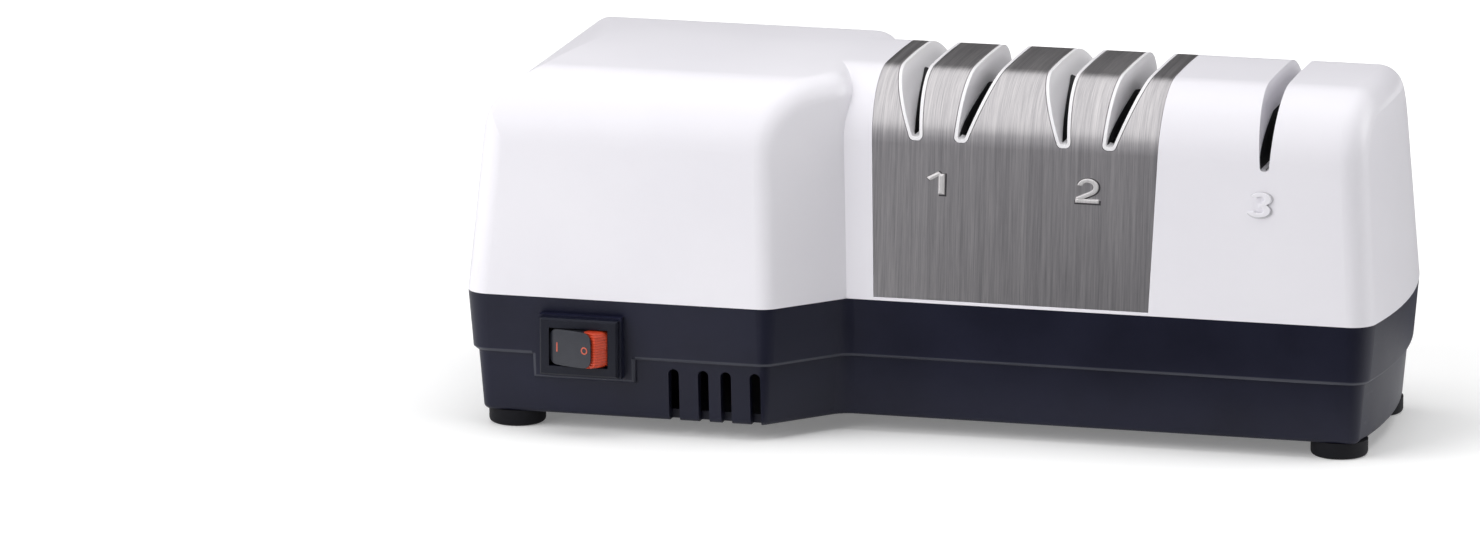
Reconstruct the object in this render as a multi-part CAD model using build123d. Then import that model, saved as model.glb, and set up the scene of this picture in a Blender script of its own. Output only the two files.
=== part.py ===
from build123d import *
import math
import os

os.makedirs("parts", exist_ok=True)

# Electric knife sharpener. Millimetres, X along the length with the motor end at -X,
# Y from front to back, Z up. The origin is on the surface it stands on, at the middle
# of the outline. The widest level is the parting line between hood and base.

# ---- driving dimensions: the enclosure -------------------------------------------------
length = 254.0             # end to end at the parting line
motor_depth = 108.5        # front to back of the motor section
front_step = 19.5          # how far the front of the sharpening section lies behind
back_step = 13.5           # the same at the back
step_to_stage = 42.4       # from where the step begins to the middle of the first stage
step_run = 17.6            # length over which the front steps back
end_bulge = 4.0            # the right end is bowed out by this much
parting_z = 38.4           # top of the base, bottom of the hood
base_z = 4.6               # underside of the base, the free height of the feet
hood_top = 100.8           # highest line of the crowned hood
crown = 1.6                # rise of the crown over the sharpening section
draft = 4.9                # mould draft of every side wall, degrees
shoulder_r = 20.0          # rounding between the side walls and the crown
motor_end_r = 22.0         # rounding of the top of the left end
corner_r = 7.0             # corners of the enclosure
step_edge_r = 7.0          # outer edge of the step between the two sections
step_foot_r = 16.0         # rounding where that step runs out on the crown
step_inner_r = 5.0         # hollow corner of the step, on the base
wall = 2.6                 # wall of hood and base
inner_corner_r = 2.5       # corners inside the base
screw_edge = 1.5           # base left outside a counterbore
boss_r = 4.0               # screw bosses of the hood
hood_boss_h = 14.0
base_boss_r = 4.4          # and of the base
screw_bite = 11.0          # how far the hood screws reach into the hood
roof_extra = 0.3           # the motor section's roof and sides above the base are this much thicker
band_step = 1.4            # the upper band of the base stands proud of the lower one
band_z = 21.8              # lower edge of that band
band_chamfer = 0.7         # on that edge
foot_edge_r = 1.4          # rounding of the base's lowest edge
floor_t = 2.5              # floor of the base
part_gap = 0.1             # clearance between fixed neighbours
free_gap = 0.3             # clearance beside a moving piece
run_gap = 0.04             # radial clearance of a running fit
fit_gap = 0.02             # radial clearance of a piece fixed on a shaft
screw_play = 0.05          # radial clearance round a screw's shank
head_play = 0.3            # radial clearance round a screw's head
screw_sink = 5.4           # depth of the counterbores in the base
left_screws_y = 30.0       # hood screws of the left end, off the middle of the motor section
right_screws_y = 14.0      # hood screws of the right end, off the shaft's line
middle_screws_x = 4.0      # hood screws beyond the step

# ---- driving dimensions: the sharpening stages -----------------------------------------
stage_pitch = 41.5         # from the middle of the first stage to the second
stage_2_to_slot_3 = 49.6   # from there to the manual slot
slot_depth = 17.8          # from the crown down to the lower end of a powered slot
slot_foot = 3.7            # slot width at its lower end
slot_half_gap = 4.25       # from the stage middle to the near edge, at the lower end
slot_near_top = 5.5        # near edge at the crown
slot_far_top = 14.8        # far edge at the crown
slot_rim = 1.0             # wall of the white slot liner
slot_floor_w = 1.7         # open slit along the floor of a liner
liner_lip = 2.0            # closed ends of that slit, front and back
liner_skirt = 4.0          # how far the liner's webs reach below the slots
slot_3_from_end = 33.8     # middle of the manual slot, from the right end
slot_3_depth = 21.2        # from the crown down to its lower end
slot_3_wall = 1.2          # walls that line it inside the hood
slot_3_foot = 2.4          # its width there
slot_3_mouth = 5.6         # its width at the crown
plate_to_stage_1 = 17.1    # lower left corner of the cover plate, from the first stage
plate_to_stage_2 = 18.4    # lower right corner, from the second stage
plate_flare = 2.2          # how much wider the plate is on each side at the crown
plate_t = 0.6              # sheet thickness
plate_rim = 1.0            # hood left showing under the plate

# ---- driving dimensions: the works -----------------------------------------------------
shaft_drop = 38.8          # from the crown down to the motor shaft
shaft_d = 6.0
shaft_from_end = 9.0       # left end of the shaft, from the left end of the hood
disk_r = 25.0              # diamond disk
disk_t = 2.0
disk_cone = 1.5            # how far the middle of the disk stands out from its rim
disk_rim_x = 4.9           # outer face of the rim, from the stage middle
disk_hub_d = 12.0
disk_travel = 1.2          # how far a disk yields against its spring, still held by its pin
disk_spring_wire = 1.1
disk_spring_d = 11.0
disk_spring_turns = 4
pin_d = 2.0
pin_inset = 0.1            # between a drive pin and the end of its hub
motor_from_end = 47.0      # middle of the lamination stack, from the left end of the hood
stack_l = 25.0
stack_w = 56.0
stack_top = 24.0           # stack above the shaft
stack_drop = 40.0          # from the shaft down to the underside of the stack
stack_leg_h = 14.0         # leg that carries the coil
rotor_d = 30.0
air_gap = 0.35
coil_build = 9.0           # coil thickness around its leg
coil_half_w = 13.0
coil_in = 1.6              # winding inside the rim of the bobbin
strap_t = 2.0              # bearing strap
strap_reach = 10.0         # strap off the face of the stack
strap_h = 14.0
bush_d = 12.0
bush_l = 8.0
bush_wall = 2.4            # metal or plastic round a bush
fan_d = 46.0
fan_w = 8.0
fan_blades = 9
fan_gap = 0.9              # between fan and bearing strap
fan_hub_r = 7.0
fan_disc_t = 1.4
fan_blade_t = 1.2
bolt_d = 3.6
bolt_y = 22.0              # bolts beside the shaft
bolt_head_r = 3.2
bolt_head_h = 2.4
bolt_nut_r = 3.4
bolt_nut_h = 2.6
spacer_r = 3.1
ring_w = 1.6               # shading ring, square wire
ring_half_h = 4.5
bobbin_wall = 1.0
bobbin_flange = 1.2
pad_t = 1.0                # rubber pad under the stack
saddle_half_l = 10.0
saddle_in = 17.0           # inner edge of the saddles, from the shaft's line
mount_y = 22.5             # mounting screws of the stack, off the shaft's line
mount_depth = 8.0          # how far the mounting screws reach into the stack
frame_clear = 2.0          # between the disks and the deck of the mechanism frame
frame_t = 2.5
frame_to_stage_1 = 16.1    # left end of the deck, from the first stage
frame_to_slot_3 = 16.8     # right end of the deck, from the manual slot
frame_half_w = 27.5
post_r = 3.6
screw_d = 3.5
screw_head_d = 6.6
screw_head_h = 2.2
cross_l = 3.6              # cross recess in a screw's head
cross_w = 0.9
cross_h = 1.2
wheel_r = 12.0             # manual stage wheel
wheel_notch_r = 8.0        # bottom of the V between the two wheels
wheel_w = 5.6
wheel_clear = 0.6          # the wheels' V lies this far below the manual slot
wheel_side_gap = 0.2       # beside each wheel
wheel_floor_gap = 1.0      # below the wheels
axle_d = 3.0
cartridge_wall = 1.6
cartridge_floor_t = 1.5
cartridge_half_w = 11.0
cartridge_play = 0.4
cartridge_reach = 7.0      # side walls of the cartridge above the axle
guide_clear = 2.3          # from the hood's roof down to a guide spring
guide_half_l = 12.0
guide_stub_r = 2.5         # stub of the hood that a guide spring hangs on
guide_t = 0.9
guide_side = 0.35          # between a guide spring and the slots beside it
end_wall_gap = 13.0        # from the last hub to the end wall of the frame
end_wall_t = 3.0
end_wall_half = 15.0
tower_t = 2.0              # walls of the tower under the cartridge
frame_post_in = 6.0        # posts of the frame, from its ends
frame_post_side = 4.0      # and from its sides
frame_post_l = 12.0        # how far their screws reach down

# ---- driving dimensions: switch, door, feet, vents -------------------------------------
switch_from_end = 34.2
switch_z = 25.5
bezel_w = 22.2
bezel_h = 16.0
bezel_t = 2.0
plinth_reach = 2.0         # flat land for the switch, in front of the parting line
plinth_rim = 0.6           # land left around the switch frame
tab_half_w = 14.6          # the upper band drops to this width and level around the switch
tab_z = 15.0
rocker_r = 9.5
rocker_face_r = 6.6        # pivot to the flat face
rocker_cap_t = 0.9
rocker_corner_r = 1.8
rocker_h = 10.2
rocker_tilt = 18.3         # degrees either way
rocker_depth = 5.1         # pivot behind the bezel's face
switch_body_w = 21.0
switch_body_h = 12.8
switch_body_l = 14.0
rocker_pin_d = 2.4
terminal_pitch = 6.4
terminal_l = 8.0
vent_w = 3.0
vent_top_z = 19.5
vents_to_step = (27.3, 18.9, 12.5, 4.2)  # from each vent to where the step begins
foot_d = 15.8
foot_inset = 12.3
foot_stem_d = 5.0
foot_from_left = 12.2
foot_from_right = 13.7
door_to_stage_1 = 13.1     # left end of the door, from the first stage
door_l = 68.0
door_half_w = 19.5
door_t = 1.8
door_gap = 0.2
rail_t = 1.6
rail_w = 2.2
rail_lap = 2.0             # how far the rails reach over the door
rail_ahead = 2.0           # rails beyond the door's travel at each end
hatch_in = 3.0             # hatch inside the outline of the closed door, at its left
hatch_in_right = 4.0       # at its right
hatch_side = 3.5           # and at its sides
grip_ribs = 5              # ribs to push the door by
grip_pitch = 2.6
grip_w = 1.2
grip_h = 1.4
grip_half_l = 9.0
magnet_half_l = 20.0
magnet_half_w = 5.0
magnet_t = 3.0
door_travel = 30.0
gland_from_end = 27.0
gland_z = 13.5
gland_d = 12.0
gland_bore = 6.5
gland_l = 10.0             # inside the wall
gland_lip = 2.0            # lip beyond the tube, outside
gland_lip_t = 1.6
lead_r = 1.0

# ---- derived places --------------------------------------------------------------------
left_x = -length / 2
right_x = length / 2
slot_3_x = right_x - slot_3_from_end
stage_xs = (slot_3_x - stage_2_to_slot_3 - stage_pitch, slot_3_x - stage_2_to_slot_3)
step_start_x = stage_xs[0] - step_to_stage
step_end_x = step_start_x + step_run
plate_left_x = stage_xs[0] - plate_to_stage_1
plate_right_x = stage_xs[1] + plate_to_stage_2
motor_x = left_x + motor_from_end
switch_x = left_x + switch_from_end
gland_x = left_x + gland_from_end
frame_left_x = stage_xs[0] - frame_to_stage_1
frame_right_x = slot_3_x + frame_to_slot_3
door_left_x = stage_xs[0] - door_to_stage_1
vent_xs = [step_start_x - d for d in vents_to_step]

slope = step_run / front_step
shift_base = (parting_z - base_z) * math.tan(math.radians(draft))
shift_band = (parting_z - band_z) * math.tan(math.radians(draft))
rocker_half = math.sqrt(rocker_r ** 2 - rocker_face_r ** 2)
tip_angle = math.atan2(rocker_half, rocker_face_r) - math.radians(rocker_tilt)
switch_reach = plinth_reach + bezel_t + rocker_r * math.cos(tip_angle) - rocker_depth
total_depth = motor_depth + switch_reach
motor_back_y = total_depth / 2
motor_front_y = motor_back_y - motor_depth
motor_mid_y = motor_back_y - motor_depth / 2
stage_front_y = motor_front_y + front_step
stage_back_y = motor_back_y - back_step
shaft_y = (stage_front_y + stage_back_y) / 2
half_stage = (stage_back_y - stage_front_y) / 2
crown_r = (half_stage ** 2 + crown ** 2) / (2 * crown)
bezel_y = motor_front_y - plinth_reach - bezel_t
pivot_y = bezel_y + rocker_depth

floor_top = base_z + floor_t
slot_floor_z = hood_top - slot_depth
slot_3_floor_z = hood_top - slot_3_depth
shaft_z = hood_top - shaft_drop
stack_leg_z = shaft_z - stack_drop
frame_z = shaft_z - disk_r - frame_clear
spring_top_z = hood_top - wall - guide_clear
wheel_axis_z = slot_3_floor_z - wheel_clear - wheel_notch_r
cartridge_z = wheel_axis_z - wheel_r - wheel_floor_gap - cartridge_floor_t
door_z = floor_top + door_gap

far_foot = slot_half_gap + slot_foot
disk_hub_reach = disk_travel + pin_d / 2
disk_end_x = disk_rim_x + disk_cone + disk_hub_reach
end_wall_x = stage_xs[1] + disk_end_x + end_wall_gap
shaft_left_x = left_x + shaft_from_end
shaft_right_x = end_wall_x + bush_l - 1.0
stack_x0 = motor_x - stack_l / 2
stack_x1 = motor_x + stack_l / 2
fan_x1 = stack_x0 - strap_reach - strap_t / 2 - bush_l / 2 - fan_gap
fan_x0 = fan_x1 - fan_w
screw_inset = band_step + shift_base + screw_edge + screw_head_d / 2 + head_play
frame_post_xs = (frame_left_x + frame_post_in, frame_right_x - frame_post_in)
frame_post_y = frame_half_w - frame_post_side
rail_x0 = door_left_x - rail_ahead
rail_l = door_l + door_travel + 2 * rail_ahead
hatch_x0 = door_left_x + hatch_in
hatch_x1 = door_left_x + door_l - hatch_in_right
hatch_half_w = door_half_w - hatch_side
cartridge_half = wheel_w + 2 * wheel_side_gap + cartridge_play + cartridge_wall
tower_x0 = slot_3_x - cartridge_half - 0.4
tower_x1 = slot_3_x + cartridge_half + 0.4
tower_half_w = cartridge_half_w + 1.0


# ---- small helpers ---------------------------------------------------------------------
def box(x0, x1, y0, y1, z0, z1):
    return Pos((x0 + x1) / 2, (y0 + y1) / 2, (z0 + z1) / 2) * Box(x1 - x0, y1 - y0, z1 - z0)


def rod_x(r, x0, x1, y=None, z=None):
    y = shaft_y if y is None else y
    z = shaft_z if z is None else z
    return Pos((x0 + x1) / 2, y, z) * Rot(0, 90, 0) * Cylinder(r, x1 - x0)


def rod_y(r, x, y0, y1, z):
    return Pos(x, (y0 + y1) / 2, z) * Rot(90, 0, 0) * Cylinder(r, y1 - y0)


def rod_z(r, x, y, z0, z1):
    return Pos(x, y, (z0 + z1) / 2) * Cylinder(r, z1 - z0)


def prism_y(points, y0, y1, round_r=0.0, round_below=-1e9):
    """A polygon in XZ carried along Y, with the corners lower than round_below rounded."""
    face = make_face(Polyline(*[(x, y0, z) for x, z in points], close=True))
    if round_r:
        face = fillet([v for v in face.vertices() if v.Z < round_below], round_r)
    return extrude(face, amount=y1 - y0, dir=(0, 1, 0))


def turned_x(points, x0=0.0, side=1):
    """A half section, (distance along X, radius), turned about the shaft axis."""
    flat = [(x0 + side * a, shaft_y, shaft_z + r) for a, r in points]
    axis = Axis((0, shaft_y, shaft_z), (1, 0, 0))
    return revolve(make_face(Polyline(*flat, close=True)), axis)


def out(shape, name):
    export_step(shape, f"parts/{name}.step")


# ---- enclosure outlines ----------------------------------------------------------------
def stage_plan(from_x):
    """The sharpening section from from_x to its bowed right end."""
    to_x = right_x - end_bulge
    sides = Polyline((to_x, stage_back_y), (from_x, stage_back_y), (from_x, stage_front_y), (to_x, stage_front_y))
    bow = ThreePointArc((to_x, stage_front_y), (right_x, shaft_y), (to_x, stage_back_y))
    return make_face([sides, bow])


def motor_plan():
    """The motor section; its stepped sides run on into the sharpening section."""
    overrun = 4.6
    end_x = step_end_x + overrun * slope
    points = [
        (left_x, motor_front_y),
        (step_start_x, motor_front_y),
        (end_x, stage_front_y + overrun),
        (end_x, stage_back_y - overrun),
        (step_end_x - back_step * slope, motor_back_y),
        (left_x, motor_back_y),
    ]
    return make_face(Polyline(*points, close=True))


def shrunk(face, inset):
    return offset(face, amount=-inset, kind=Kind.INTERSECTION) if inset else face


def cross_section(front_y, back_y, inset, x0, x1):
    """Drafted sides, shoulders and one common crown, carried along X."""
    lean = math.tan(math.radians(draft))
    crown_z = hood_top - crown_r
    low = 10.0  # the section runs on below the parting line, so that it cuts the whole block
    y_a = front_y + (hood_top - parting_z) * lean
    y_b = back_y - (hood_top - parting_z) * lean
    z_a = crown_z + math.sqrt(crown_r ** 2 - (y_a - shaft_y) ** 2)
    z_b = crown_z + math.sqrt(crown_r ** 2 - (y_b - shaft_y) ** 2)
    a = (0, front_y + (z_a - parting_z) * lean, z_a)
    b = (0, back_y - (z_b - parting_z) * lean, z_b)
    low_a = (0, front_y - low * lean, parting_z - low)
    low_b = (0, back_y + low * lean, parting_z - low)
    top = ThreePointArc(a, (0, shaft_y, hood_top), b)
    face = make_face([Line(low_a, a), top, Line(b, low_b), Line(low_b, low_a)])
    face = fillet([v for v in face.vertices() if v.Z > parting_z], shoulder_r)
    return Pos(x0, 0, 0) * extrude(shrunk(face, inset), amount=x1 - x0, dir=(1, 0, 0))


def over_top():
    """Height of the drafted blocks, past the crown."""
    return hood_top - parting_z + 2.0


def motor_block(inset, corner, edge):
    plan = motor_plan()
    right = plan.vertices().sort_by(Axis.X)[-2:]
    plan = shrunk(fillet(right, step_foot_r), inset)
    block = Pos(0, 0, parting_z) * extrude(plan, amount=over_top(), taper=draft)
    uprights = [e for e in block.edges() if e.center().X < left_x + 12 and is_upright(e)]
    block = fillet(uprights, corner)
    roof = inset + roof_extra if inset else 0
    block = block & cross_section(motor_front_y, motor_back_y, roof, left_x - 1, step_end_x + 30)
    if edge:
        rim = [e for e in block.edges() if is_step_rim(e)]
        block = fillet(rim, edge)
    return block - end_rounding(roof)


def is_upright(e):
    return abs(e.tangent_at(0.5).Z) > 0.9


def is_step_rim(e):
    """Edges that bound the stepped side of the motor block, above the parting line."""
    ends = (e.position_at(0), e.position_at(1))
    if max(p.Z for p in ends) < parting_z + 1:
        return False
    mid = e.center()
    along_x = abs(ends[0].X - ends[1].X) > 40
    return mid.X > step_start_x - 6 and not along_x and not buried(e)


def buried(e):
    """Upright edges of the motor block that the sharpening section swallows."""
    return is_upright(e) and stage_front_y < e.center().Y < stage_back_y


def end_rounding(inset):
    """What the rounded top of the left end takes away, tangent to end wall and crown."""
    r = motor_end_r - inset
    a = math.radians(draft)
    top_z = hood_top - inset
    lean = math.tan(a)
    end_at_top = left_x + inset / math.cos(a) + (top_z - parting_z) * lean
    centre_x = end_at_top + r / math.cos(a) - r * lean
    centre_z = top_z - r
    t1 = (centre_x - r * math.cos(a), centre_z + r * math.sin(a))
    mid_a = (math.pi / 2 + math.pi - a) / 2
    mid = (centre_x + r * math.cos(mid_a), centre_z + r * math.sin(mid_a))
    t2 = (centre_x, top_z)
    y0 = motor_front_y - 5
    lift = 8.0
    corner = [(t2[0], top_z + lift), (t1[0] - lift * 2, top_z + lift), (t1[0] - lift * 2, t1[1])]
    line = Polyline(*[(x, y0, z) for x, z in [t2] + corner + [t1]])
    arc = ThreePointArc((t1[0], y0, t1[1]), (mid[0], y0, mid[1]), (t2[0], y0, t2[1]))
    return extrude(make_face([line, arc]), amount=motor_depth + 10, dir=(0, 1, 0))


def stage_block(inset, corner):
    plan = shrunk(stage_plan(step_start_x - 30), inset)
    block = Pos(0, 0, parting_z) * extrude(plan, amount=over_top(), taper=draft)
    block = block & cross_section(stage_front_y, stage_back_y, inset, step_start_x - 40, right_x + 2)
    rim = [e for e in block.edges() if is_end_rim(e)]
    return fillet(rim, corner)


def is_end_rim(e):
    ends = (e.position_at(0), e.position_at(1))
    above = max(p.Z for p in ends) > parting_z + 1
    return above and e.center().X > right_x - 16 and abs(ends[0].X - ends[1].X) < 14


def hood_form(inset):
    edge = 0 if inset else step_edge_r
    return motor_block(inset, corner_r - inset, edge) + stage_block(inset, corner_r - inset)


def base_plan(inset, corner):
    """Outline of the whole product at the parting line, shrunk and then rounded."""
    face = motor_plan() + stage_plan(step_start_x)
    face = shrunk(face.faces()[0], inset)
    outer_y = motor_depth / 2 - inset - 1.0

    def is_end(v):
        return abs(v.X) > right_x - end_bulge - inset - 3

    def is_step(v):
        return not is_end(v) and abs(v.Y - motor_mid_y) > outer_y

    def is_step_foot(v):
        return not is_end(v) and not is_step(v)

    face = fillet([v for v in face.vertices() if is_step_foot(v)], step_inner_r)
    return fillet([v for v in face.vertices() if is_end(v) or is_step(v)], corner)


# ---- slots -----------------------------------------------------------------------------
slot_over = 6.0  # the cutters of the slots run this far past the crown


def slot_polygon(stage_x, side, rim):
    """Outline of one powered slot in XZ, shrunk by a rim; side is -1 or 1."""
    low = slot_floor_z + rim
    top = hood_top + slot_over

    def near(z):
        return slot_half_gap + (slot_near_top - slot_half_gap) * (z - slot_floor_z) / slot_depth + rim

    def far(z):
        return far_foot + (slot_far_top - far_foot) * (z - slot_floor_z) / slot_depth - rim

    points = [(near(low), low), (far(low), low), (far(top), top), (near(top), top)]
    return [(stage_x + side * x, z) for x, z in points]


def slot_prism(stage_x, side, rim):
    low = slot_floor_z + rim
    radius = min(1.6, (slot_foot - 2 * rim) * 0.42)  # nearly a full round at the foot
    y0 = stage_front_y - 5
    return prism_y(slot_polygon(stage_x, side, rim), y0, stage_back_y + 5, radius, low + 0.5)


def slots(rim):
    both = [slot_prism(x, side, rim) for x in stage_xs for side in (-1, 1)]
    return both[0] + both[1:]


def slot_3(grow):
    """The manual slot, widened by grow on each side."""
    top = hood_top + slot_over
    foot = slot_3_foot / 2 + grow
    mouth = foot + (slot_3_mouth - slot_3_foot) / 2 * (1 + slot_over / slot_3_depth)
    points = [
        (slot_3_x - foot, slot_3_floor_z),
        (slot_3_x + foot, slot_3_floor_z),
        (slot_3_x + mouth, top),
        (slot_3_x - mouth, top),
    ]
    return prism_y(points, stage_front_y - 5, stage_back_y + 5, foot * 0.9, slot_3_floor_z + 0.5)


def slot_3_lining():
    """Walls that carry the manual slot down inside the hood, clear of the wheels."""
    wheels = wheel_r + wheel_floor_gap
    low = wheel_axis_z - wheel_r
    window = box(slot_3_x - cartridge_half, slot_3_x + cartridge_half, shaft_y - wheels, shaft_y + wheels, low,
                 wheel_axis_z + wheel_r + wheel_floor_gap)
    return (slot_3(slot_3_wall) & stage_block(0, corner_r)) - window


def plate_prism(grow):
    low = parting_z + plate_rim - grow
    left = plate_left_x - grow
    right = plate_right_x + grow
    top = hood_top + 4.0
    points = [(left, low), (right, low), (right + plate_flare, top), (left - plate_flare, top)]
    return prism_y(points, stage_front_y - 5, stage_back_y + 5)


# ---- enclosure pieces ------------------------------------------------------------------
def screw_places():
    """Each hood screw: its place and the direction of the nearest wall."""
    return [
        (left_x + screw_inset, motor_mid_y - left_screws_y, -1, 0),
        (left_x + screw_inset, motor_mid_y + left_screws_y, -1, 0),
        (step_end_x + middle_screws_x, stage_front_y + screw_inset, 0, -1),
        (step_end_x + middle_screws_x, stage_back_y - screw_inset, 0, 1),
        (right_x - screw_inset, shaft_y - right_screws_y, 1, 0),
        (right_x - screw_inset, shaft_y + right_screws_y, 1, 0),
    ]


def make_hood():
    hood = hood_form(0) - hood_form(wall)
    form = hood_form(0)
    reach = screw_inset - wall / 2
    for x, y, dx, dy in screw_places():
        boss = rod_z(boss_r, x, y, parting_z, parting_z + hood_boss_h)
        x_far = x + dx * reach
        y_far = y + dy * reach
        web = box(min(x, x_far) - abs(dy), max(x, x_far) + abs(dy), min(y, y_far) - abs(dx),
                  max(y, y_far) + abs(dx), parting_z, parting_z + hood_boss_h)
        hood = hood + ((boss + web) & form)
    for x in stage_xs:
        hood = hood + rod_z(guide_stub_r, x, shaft_y, spring_top_z, hood_top - wall + 0.5)
    hood = hood - (plate_prism(part_gap) - stage_block(plate_t + fit_gap, corner_r - plate_t))
    hood = (hood + slot_3_lining()) - slots(0) - slot_3(0)
    for x, y, _, _ in screw_places():
        hood = hood - rod_z(screw_d / 2 + screw_play, x, y, parting_z - 1, parting_z + hood_boss_h - 1.5)
    return hood


def make_plate():
    shell = stage_block(0, corner_r) - stage_block(plate_t, corner_r - plate_t)
    return (shell & plate_prism(0)) - slots(-part_gap)


def make_insert(stage_x):
    """Two slot liners joined by a web at each end, with windows for the disks."""
    body = stage_block(0, corner_r)
    web_z = slot_floor_z - liner_skirt
    liners = None
    for side in (-1, 1):
        liner = (slot_prism(stage_x, side, part_gap) & body) - slot_prism(stage_x, side, slot_rim)
        liners = liner if liners is None else liners + liner
    reach = half_stage - (slot_floor_z - parting_z) * math.tan(math.radians(draft)) - wall - 1.0
    for side in (-1, 1):
        y_out = shaft_y + side * reach
        y_in = shaft_y + side * (disk_r + 1.0)
        web = box(stage_x - far_foot + 0.6, stage_x + far_foot - 0.6, min(y_in, y_out), max(y_in, y_out),
                  web_z, slot_floor_z + 0.6)
        liners = liners + web
    middle = slot_half_gap + slot_foot / 2
    for side in (-1, 1):
        x = stage_x + side * middle
        liners = liners - box(x - slot_floor_w / 2, x + slot_floor_w / 2, shaft_y - reach + liner_lip,
                              shaft_y + reach - liner_lip, web_z - 1, slot_floor_z + slot_rim + 0.5)
    half = slot_half_gap + slot_rim + 0.25
    window = box(stage_x - half, stage_x + half, shaft_y - disk_r, shaft_y + disk_r,
                 slot_floor_z - 1, shaft_z + disk_r + 1.0)
    return liners - window


def make_guide_spring(stage_x):
    """Inverted U of thin plastic between the two slots of a stage."""
    half = slot_half_gap - guide_side
    low = shaft_z + disk_r + 0.8
    outer = box(stage_x - half, stage_x + half, shaft_y - guide_half_l, shaft_y + guide_half_l, low, spring_top_z)
    inner = box(stage_x - half + guide_t, stage_x + half - guide_t, shaft_y - guide_half_l - 1,
                shaft_y + guide_half_l + 1, low - 1, spring_top_z - guide_t)
    top_edges = outer.edges().filter_by(Axis.Y).sort_by(Axis.Z)[-2:]
    return fillet(top_edges, 0.8) - inner


def make_base():
    def skirt(inset, low_z):
        face = base_plan(inset, corner_r - inset)
        return extrude(Pos(0, 0, parting_z) * face, amount=parting_z - low_z, dir=(0, 0, -1), taper=draft)

    def bottom(shape):
        return shape.faces().sort_by(Axis.Z)[0].edges()

    lower = skirt(band_step, base_z)
    lower = fillet(bottom(lower), foot_edge_r)
    upper = skirt(0, band_z)
    upper = chamfer(bottom(upper), band_chamfer)
    tab = skirt(0, tab_z) & box(switch_x - tab_half_w, switch_x + tab_half_w, motor_front_y - 2,
                                motor_front_y + 12, tab_z, parting_z - 1)
    front = tab.faces().sort_by(Axis.Y)[0]
    tab = chamfer([e for e in front.edges() if e.center().Z < parting_z - 2], band_chamfer)
    base = lower + upper + tab
    half_w = bezel_w / 2 + plinth_rim
    half_h = bezel_h / 2 + plinth_rim
    base = base + box(switch_x - half_w, switch_x + half_w, motor_front_y - plinth_reach, motor_front_y + 8,
                      switch_z - half_h, switch_z + half_h)
    low_cut = Pos(0, 0, floor_top) * extrude(base_plan(band_step + shift_base + wall, inner_corner_r),
                                             amount=band_z - floor_top)
    high_cut = Pos(0, 0, band_z) * extrude(base_plan(shift_band + wall, inner_corner_r), amount=parting_z - band_z)
    form = lower + upper
    base = base - low_cut - high_cut
    base = base + (screw_bosses() & form) + frame_posts() + motor_saddles() + door_rails()
    return base - base_holes()


def screw_bosses():
    return Compound([rod_z(base_boss_r, x, y, base_z + 0.5, parting_z) for x, y, _, _ in screw_places()])


def frame_posts():
    places = [(x, shaft_y + side * frame_post_y) for x in frame_post_xs for side in (-1, 1)]
    return Compound([rod_z(post_r, x, y, base_z + 0.5, frame_z - frame_t) for x, y in places])


def motor_saddles():
    solids = []
    for side in (-1, 1):
        y_a = shaft_y + side * saddle_in
        y_b = shaft_y + side * stack_w / 2
        solids.append(box(motor_x - saddle_half_l, motor_x + saddle_half_l, min(y_a, y_b), max(y_a, y_b),
                          base_z + 0.5, stack_leg_z - pad_t))
    return Compound(solids)


def door_rails():
    """Guides beside the door, with a lip over each of its edges, and a stop at its closed end."""
    solids = []
    lip_z = door_z + door_t + free_gap
    top_z = lip_z + rail_t
    rail_x1 = rail_x0 + rail_l
    for side in (-1, 1):
        y_side = shaft_y + side * (door_half_w + free_gap)
        y_out = y_side + side * rail_w
        y_lip = shaft_y + side * (door_half_w - rail_lap)
        solids.append(box(rail_x0, rail_x1, min(y_side, y_out), max(y_side, y_out), base_z + 0.5, top_z))
        solids.append(box(rail_x0, rail_x1, min(y_lip, y_out), max(y_lip, y_out), lip_z, top_z))
    stop = box(rail_x0, door_left_x - free_gap, shaft_y - door_half_w, shaft_y + door_half_w, base_z + 0.5, top_z)
    return Compound(solids + [stop])


def foot_places():
    """The two front feet, then the two at the back."""
    left = left_x + foot_from_left
    right = right_x - foot_from_right
    front = [(left, motor_front_y + foot_inset), (right, stage_front_y + foot_inset)]
    back = [(left, motor_back_y - foot_inset), (right, stage_back_y - foot_inset)]
    return front + back


def base_holes():
    cuts = []
    for x, y, _, _ in screw_places():
        cuts.append(rod_z(screw_d / 2 + screw_play, x, y, base_z - 1, parting_z + 1))
        cuts.append(rod_z(screw_head_d / 2 + head_play, x, y, base_z - 1, base_z + screw_sink))
    for x in frame_post_xs:
        for side in (-1, 1):
            cuts.append(rod_z(screw_d / 2 + screw_play, x, shaft_y + side * frame_post_y,
                              frame_z - frame_t - frame_post_l - 2.0, frame_z))
    for side in (-1, 1):
        y = shaft_y + side * mount_y
        cuts.append(rod_z(screw_d / 2 + screw_play, motor_x, y, base_z - 1, stack_leg_z))
        cuts.append(rod_z(screw_head_d / 2 + head_play, motor_x, y, base_z - 1, base_z + screw_sink))
    for x, y in foot_places():
        cuts.append(rod_z(foot_stem_d / 2 + part_gap, x, y, base_z - 1, floor_top + 3))
    cuts.append(box(hatch_x0, hatch_x1, shaft_y - hatch_half_w, shaft_y + hatch_half_w, base_z - 1,
                    floor_top + 1))
    for x in vent_xs:
        cuts.append(vent_cut(x, motor_front_y, 1))
    for x in vent_xs:
        cuts.append(vent_cut(x - (front_step - back_step) * slope, motor_back_y, -1))
    body_half_w = switch_body_w / 2 + part_gap
    body_half_h = switch_body_h / 2 + part_gap
    cuts.append(box(switch_x - body_half_w, switch_x + body_half_w, motor_front_y - 6, motor_front_y + 12,
                    switch_z - body_half_h, switch_z + body_half_h))
    cuts.append(rod_y(gland_d / 2 + part_gap, gland_x, motor_back_y - 16, motor_back_y + 1, gland_z))
    return Compound(cuts)


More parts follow.
